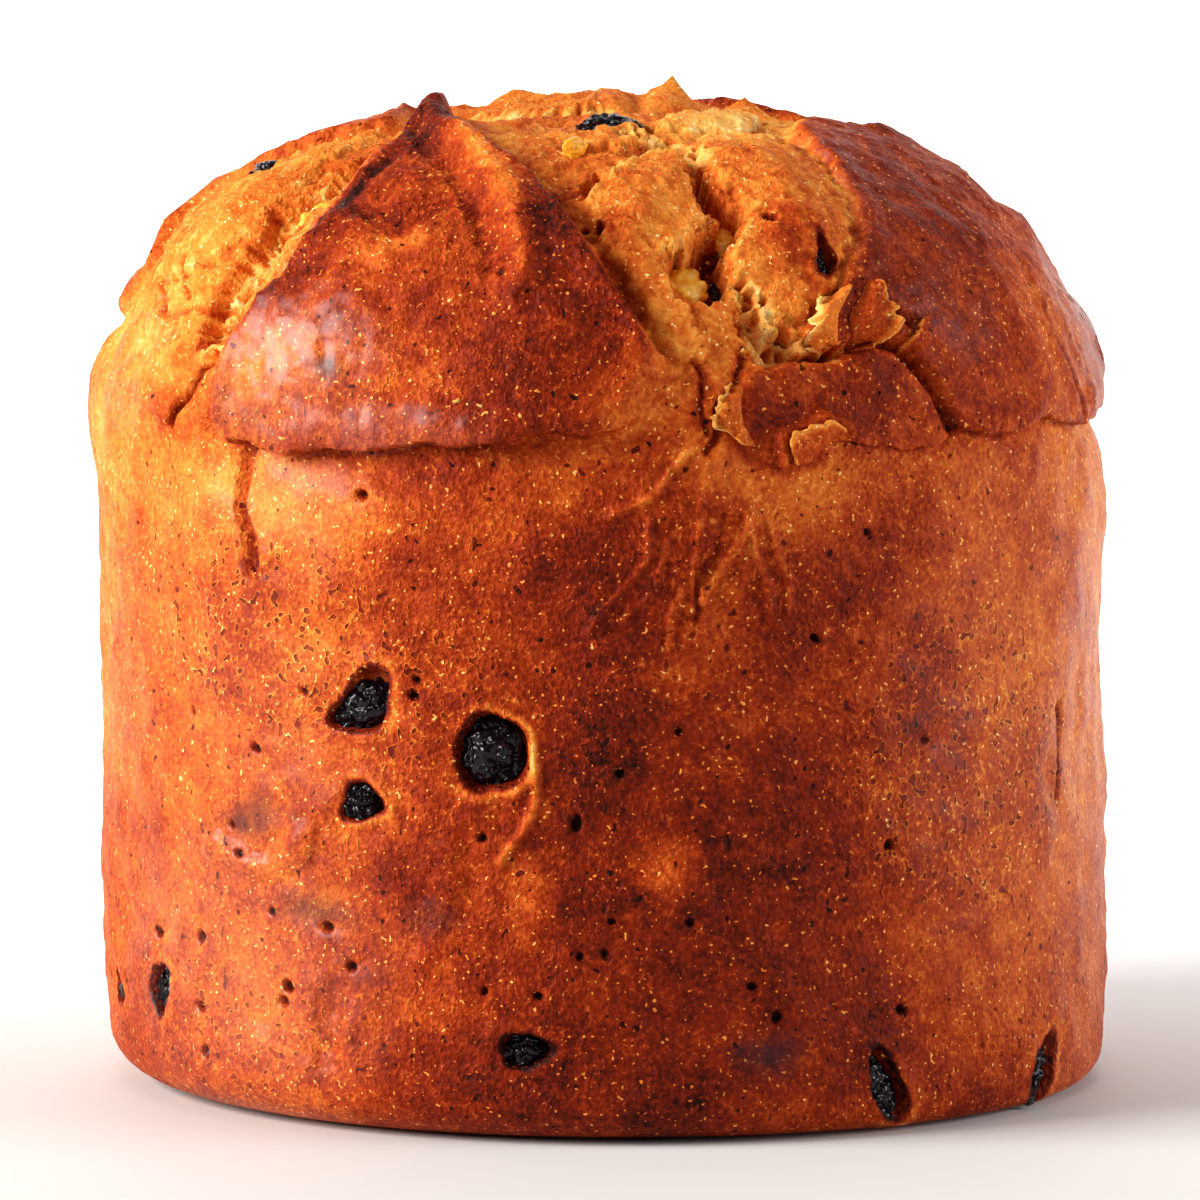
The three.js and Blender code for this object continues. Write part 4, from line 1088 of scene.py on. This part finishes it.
class PANETTONE_OT_loaf(bpy.types.Operator):
    """Add the loaf: its browned flaps, torn arms, pitted wall and base"""

    bl_idname = "panettone.loaf"
    bl_label = "Add Loaf"

    def execute(self, context):
        settings = context.scene.panettone_loaf
        bm = crust_chart(settings.columns, settings.row_step)
        refine(bm, lambda b, d, s: between(d, FINE_DROPS))
        refine(bm, lambda b, d, s: between(d, FINER_DROPS) & (
            (s.sharp < NEAR_EDGE) | (between(b, SHOWN_TOP_BEARINGS) & between(d, SHOWN_TOP_DROPS))))
        refine(bm, lambda b, d, s: (between(d, FINEST_DROPS) & between(b, FINEST_BEARINGS)
                                    & (s.sharp < AT_EDGE)))
        survey = Survey(*places_of([v.co for v in bm.verts]))
        for vertex, place in zip(bm.verts, crust_places(survey)):
            vertex.co = place
        bmesh.ops.recalc_face_normals(bm, faces=bm.faces)
        loaf = new_object("loaf_crust", bm, material("baked_crust", crust_material))
        paint(loaf, "look", (survey.bake, survey.fresh, survey.mottle))
        paint(loaf, "marks", (survey.smudge, survey.pore, survey.gloss))
        belongs(loaf, "crust", "loaf")
        return {"FINISHED"}


def fruit_names(kind):
    return sorted(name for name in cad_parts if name.startswith(kind))


def fruit_mesh(name, cuts, rounding):
    """A fruit's CAD solid, merged and cut finer, with its middle and its way out of the crust."""
    bm = bmesh.new()
    bm.from_mesh(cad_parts[name].data)
    bmesh.ops.remove_doubles(bm, verts=bm.verts, dist=0.01 * MM)
    bmesh.ops.subdivide_edges(bm, edges=bm.edges, cuts=cuts, smooth=rounding, use_grid_fill=True)
    bmesh.ops.recalc_face_normals(bm, faces=bm.faces)
    bm.normal_update()
    place, _ = FRUIT_PLACES[name]
    return bm, plain(*place), directions(*place)[2]


def wrinkle(bm, depth, size, seed, narrow=2.6):
    """Folds the surface in along wandering lines, as drying fruit does."""
    for vertex in bm.verts:
        spot = vertex.co / (size * MM) + Vector((seed * 5.1, seed, -seed * 2.3))
        spot.z *= 1.5
        fold = 1 - narrow * abs(noise.noise(spot))
        vertex.co -= vertex.normal * (depth * MM * max(fold, 0.0) ** 1.4)


def swell_out(bm, middle, out, wide, tall, shift):
    """Makes a fruit wider, and taller the way out of the crust, and moves it out."""
    centre, way = Vector(middle) * MM, Vector(out)
    for vertex in bm.verts:
        gap = vertex.co - centre
        rise = gap.dot(way)
        vertex.co = centre + (gap - rise * way) * wide + way * (rise * tall + shift * MM)


def settle(bm, middle, out, top):
    """Moves the fruit along the way out until its top stands at that height over the crust."""
    place = [np.array([v]) for v in place_near(middle, 1800)]
    level = float(Survey(*place, fine=False).plain_level[0])
    highest = max(float((np.array(v.co) / MM - middle) @ out) for v in bm.verts)
    shift = (level + top - highest) * MM
    bmesh.ops.translate(bm, verts=bm.verts, vec=Vector(out) * shift)


class PANETTONE_OT_raisins(bpy.types.Operator):
    """Add the wrinkled raisins, each one in its own hole in the crust"""

    bl_idname = "panettone.raisins"
    bl_label = "Add Raisins"

    def execute(self, context):
        settings = context.scene.panettone_fruit
        for number, name in enumerate(fruit_names("raisin")):
            bm, middle, out = fruit_mesh(name, settings.cuts, 1.0)
            wrinkle(bm, settings.wrinkle, 3.0, number)
            wrinkle(bm, 0.35 * settings.wrinkle, 1.5, number + 20, narrow=2.0)
            settle(bm, middle, out, RAISIN_TOPS.get(name, RAISIN_TOP))
            piece = new_object(f"{name}_fruit", bm, material("dried_raisin", raisin_material))
            belongs(piece, "raisin", name)
        return {"FINISHED"}


class PANETTONE_OT_peel(bpy.types.Operator):
    """Add the pieces of candied peel, each one where the crust holds it"""

    bl_idname = "panettone.peel"
    bl_label = "Add Peel"

    def execute(self, context):
        settings = context.scene.panettone_fruit
        for number, name in enumerate(fruit_names("peel")):
            bm, middle, out = fruit_mesh(name, settings.cuts, 0.3)
            if name in PEEL_SIZES:
                swell_out(bm, middle, out, *PEEL_SIZES[name])
            wrinkle(bm, 0.5 * settings.wrinkle, 3.4, number + 40)
            wrinkle(bm, 0.6 * settings.wrinkle, 1.6, number + 60, narrow=1.8)
            piece = new_object(f"{name}_piece", bm, material("candied_peel", peel_material))
            belongs(piece, "peel", name)
        return {"FINISHED"}


def flake_mesh(flake, seed):
    """A thin skin between its root and its curled free edge, and the browning of its vertices."""
    bm = bmesh.new()
    along, across = FLAKE_STEPS
    bmesh.ops.create_grid(bm, x_segments=along, y_segments=across, size=0.5)
    grid = np.array([v.co for v in bm.verts]) + 0.5
    u, v = grid[:, 0], grid[:, 1]
    sides = []
    for knots in (flake["root"], flake["free"]):
        places, _ = trace(knots, step=0.4)
        at = np.linspace(0, 1, len(places))
        sides.append(np.stack([np.interp(u, at, places[:, k]) for k in (0, 1)], -1))
    ragged = grain(np.column_stack([u * 6, v * 1.2, np.full(len(u), seed)]), 1.0, seed, 3)
    taper = np.sin(np.pi * np.clip(u, 0.02, 0.98)) ** 0.6
    reach = (v * (1 + 0.35 * ragged)) * (0.35 + 0.65 * taper)
    place = mix(sides[0], sides[1], reach[:, None])
    survey = Survey(place[:, 0], place[:, 1])
    sunk = -0.5 * (1 - smooth(v, 0.0, 0.3))
    curl = flake["lift"] * taper * reach ** 1.7 * (1 + 0.3 * ragged)
    survey.level = survey.plain_level + sunk + curl + 0.25
    for vertex, spot in zip(bm.verts, crust_places(survey)):
        vertex.co = spot
    edge = smooth(v, 0.72, 1.0)
    bmesh.ops.recalc_face_normals(bm, faces=bm.faces)
    bmesh.ops.solidify(bm, geom=bm.faces, thickness=FLAKE_THICKNESS * MM)
    bmesh.ops.recalc_face_normals(bm, faces=bm.faces)
    return bm, np.tile(flake["bake"] - 0.3 * edge, 2)


class PANETTONE_OT_flakes(bpy.types.Operator):
    """Add the curled flakes of skin beside the tears"""

    bl_idname = "panettone.flakes"
    bl_label = "Add Flakes"

    def execute(self, context):
        for number, (name, flake) in enumerate(FLAKES.items()):
            bm, bake = flake_mesh(flake, number + 1)
            piece = new_object(name, bm, material("baked_crust", crust_material))
            paint_simply(piece, bake, 0.3)
            belongs(piece, "crust")
        return {"FINISHED"}


class PANETTONE_OT_crumbs(bpy.types.Operator):
    """Add the crumbs of dough that lie along the tears"""

    bl_idname = "panettone.crumbs"
    bl_label = "Add Crumbs"

    def execute(self, context):
        draw = random.Random(CRUMB_SEED)
        bm = bmesh.new()
        bakes = []
        for knots, half, count, (small, large) in CRUMB_STRIPS:
            places, _ = trace(knots)
            at = np.linspace(0, 1, len(places))
            for _ in range(count):
                t = draw.random()
                bearing = np.interp(t, at, places[:, 0]) + draw.uniform(-half, half)
                drop = np.interp(t, at, places[:, 1]) + draw.uniform(-1, 1)
                survey = Survey(np.array([bearing]), np.array([drop]), fine=False)
                size = draw.uniform(small, large)
                survey.level += 0.2 * size
                spot = Vector(crust_places(survey)[0])
                turn = Matrix.Rotation(draw.uniform(0, 6), 4, (draw.random(), draw.random(), 1))
                stretch = Matrix.Diagonal((1.0, draw.uniform(0.5, 0.9), draw.uniform(0.4, 0.8), 1))
                lump = bmesh.ops.create_icosphere(
                    bm, subdivisions=2, radius=0.5 * size * MM,
                    matrix=Matrix.Translation(spot) @ turn @ stretch)["verts"]
                for vertex in lump:
                    dent = noise.fractal(vertex.co / (0.4 * MM), 1.0, 2.0, 2)
                    vertex.co = spot + (vertex.co - spot) * (1 + 0.9 * dent)
                bakes += [draw.uniform(0.02, 0.24)] * len(lump)
        piece = new_object("crumbs", bm, material("baked_crust", crust_material))
        paint_simply(piece, bakes, 0.9)
        belongs(piece, "crust")
        return {"FINISHED"}


# The floor and its backdrop in metres: half the floor's width, how far it lies towards the camera
# and under the loaf, the backdrop's height, the round of the corner between them and its steps
FLOOR_HALF, FLOOR_FORWARD, FLOOR_UNDER = 4.0, 1.8, 0.5 * MM
BACKDROP_RISE, CORNER_ROUND, CORNER_STEPS = 5.0, 1.6, 16

# Lights, of which the settings hold the powers: width, place, colour and the point they face
WHITE = (1, 1, 1)
LOAF_MIDDLE = (0, 0, 0.075)
LIGHTS = {
    "key": (0.9, (-1.45, -0.52, 0.75), (1.0, 0.97, 0.93), LOAF_MIDDLE),
    "fill": (0.8, (1.4, -0.3, 0.5), WHITE, LOAF_MIDDLE),
    "top": (1.2, (0.0, 0.1, 1.5), WHITE, LOAF_MIDDLE),
    "backdrop_light": (1.6, (0, 0.8, 1.1), WHITE, (0, 2.0, 0.2)),
}

# The camera: place in metres, degrees that it looks down, focal length and sensor in millimetres
CAMERA_PLACE = (0.0, -1.1, 0.176)
CAMERA_DOWN, CAMERA_LENS, CAMERA_SENSOR = 5.39, 214.4, 36.0


def area_light(name, power, size, at, colour, target):
    """A square soft light that faces the target."""
    lamp = bpy.data.lights.new(name, "AREA")
    lamp.energy, lamp.size, lamp.color = power, size, colour
    light = bpy.data.objects.new(name, lamp)
    bpy.context.scene.collection.objects.link(light)
    light.location = at
    aim = Vector(target) - Vector(at)
    light.rotation_euler = aim.to_track_quat("-Z", "Y").to_euler()


class PANETTONE_OT_stage(bpy.types.Operator):
    """Set the floor, the lights and the camera"""

    bl_idname = "panettone.stage"
    bl_label = "Set Stage"

    def execute(self, context):
        scene = context.scene
        settings = scene.panettone_stage
        bm = bmesh.new()
        bmesh.ops.create_grid(bm, x_segments=1, y_segments=1, size=FLOOR_HALF)
        bmesh.ops.translate(bm, vec=(0, -FLOOR_FORWARD, -FLOOR_UNDER), verts=bm.verts)
        back = [e for e in bm.edges if all(v.co.y > 2 for v in e.verts)]
        raised = bmesh.ops.extrude_edge_only(bm, edges=back)["geom"]
        upper = [g for g in raised if hasattr(g, "co")]
        bmesh.ops.translate(bm, vec=(0, 0, BACKDROP_RISE), verts=upper)
        corner = [e for e in bm.edges if all(v.co.y > 2 and v.co.z < 1 for v in e.verts)]
        bmesh.ops.bevel(bm, geom=corner, offset=CORNER_ROUND, segments=CORNER_STEPS, profile=0.5,
                        affect="EDGES", material=-1)
        floor = Shader("floor")
        floor.set(Base_Color=(*settings.floor, 1.0), Roughness=0.7)
        new_object("floor", bm, floor.material)
        world = bpy.data.worlds.new("surroundings")
        world.use_nodes = True
        background = world.node_tree.nodes["Background"]
        background.inputs["Color"].default_value = (1.0, 0.99, 0.98, 1.0)
        background.inputs["Strength"].default_value = settings.surroundings
        scene.world = world
        for name, row in LIGHTS.items():
            area_light(name, getattr(settings, name), *row)
        camera = bpy.data.objects.new("camera", bpy.data.cameras.new("camera"))
        camera.data.sensor_width = CAMERA_SENSOR
        camera.data.lens = CAMERA_LENS
        camera.location = CAMERA_PLACE
        camera.rotation_euler = (math.radians(90 - CAMERA_DOWN), 0.0, 0.0)
        scene.collection.objects.link(camera)
        scene.camera = camera
        scene.view_settings.view_transform = "Standard"
        return {"FINISHED"}


class PANETTONE_PT_panel(bpy.types.Panel):
    """The panettone's pieces and settings"""

    bl_label = "Panettone"
    bl_space_type = "VIEW_3D"
    bl_region_type = "UI"
    bl_category = "Panettone"

    def draw(self, context):
        for title, group, kinds in LISTING:
            box = self.layout.box()
            box.label(text=title)
            settings = getattr(context.scene, group)
            for name in settings.bl_rna.properties.keys():
                if name not in {"rna_type", "name"}:
                    box.prop(settings, name)
            for kind in kinds:
                box.operator(kind.bl_idname)


LISTING = [
    ("Loaf", "panettone_loaf", (PANETTONE_OT_loaf, PANETTONE_OT_flakes, PANETTONE_OT_crumbs)),
    ("Fruit", "panettone_fruit", (PANETTONE_OT_raisins, PANETTONE_OT_peel)),
    ("Stage", "panettone_stage", (PANETTONE_OT_stage,)),
]
GROUPS = {"panettone_loaf": LoafSettings, "panettone_fruit": FruitSettings,
          "panettone_stage": StageSettings}
CLASSES = (*GROUPS.values(), *[kind for row in LISTING for kind in row[2]], PANETTONE_PT_panel)


def register():
    for kind in CLASSES:
        bpy.utils.register_class(kind)
    for name, group in GROUPS.items():
        setattr(bpy.types.Scene, name, PointerProperty(type=group))


def unregister():
    for name in GROUPS:
        delattr(bpy.types.Scene, name)
    for kind in reversed(CLASSES):
        bpy.utils.unregister_class(kind)


def main():
    """Builds the whole panettone and its stage."""
    register()
    bpy.ops.panettone.loaf()
    bpy.ops.panettone.raisins()
    bpy.ops.panettone.peel()
    bpy.ops.panettone.flakes()
    bpy.ops.panettone.crumbs()
    bpy.ops.panettone.stage()


if __name__ == "__main__":
    main()
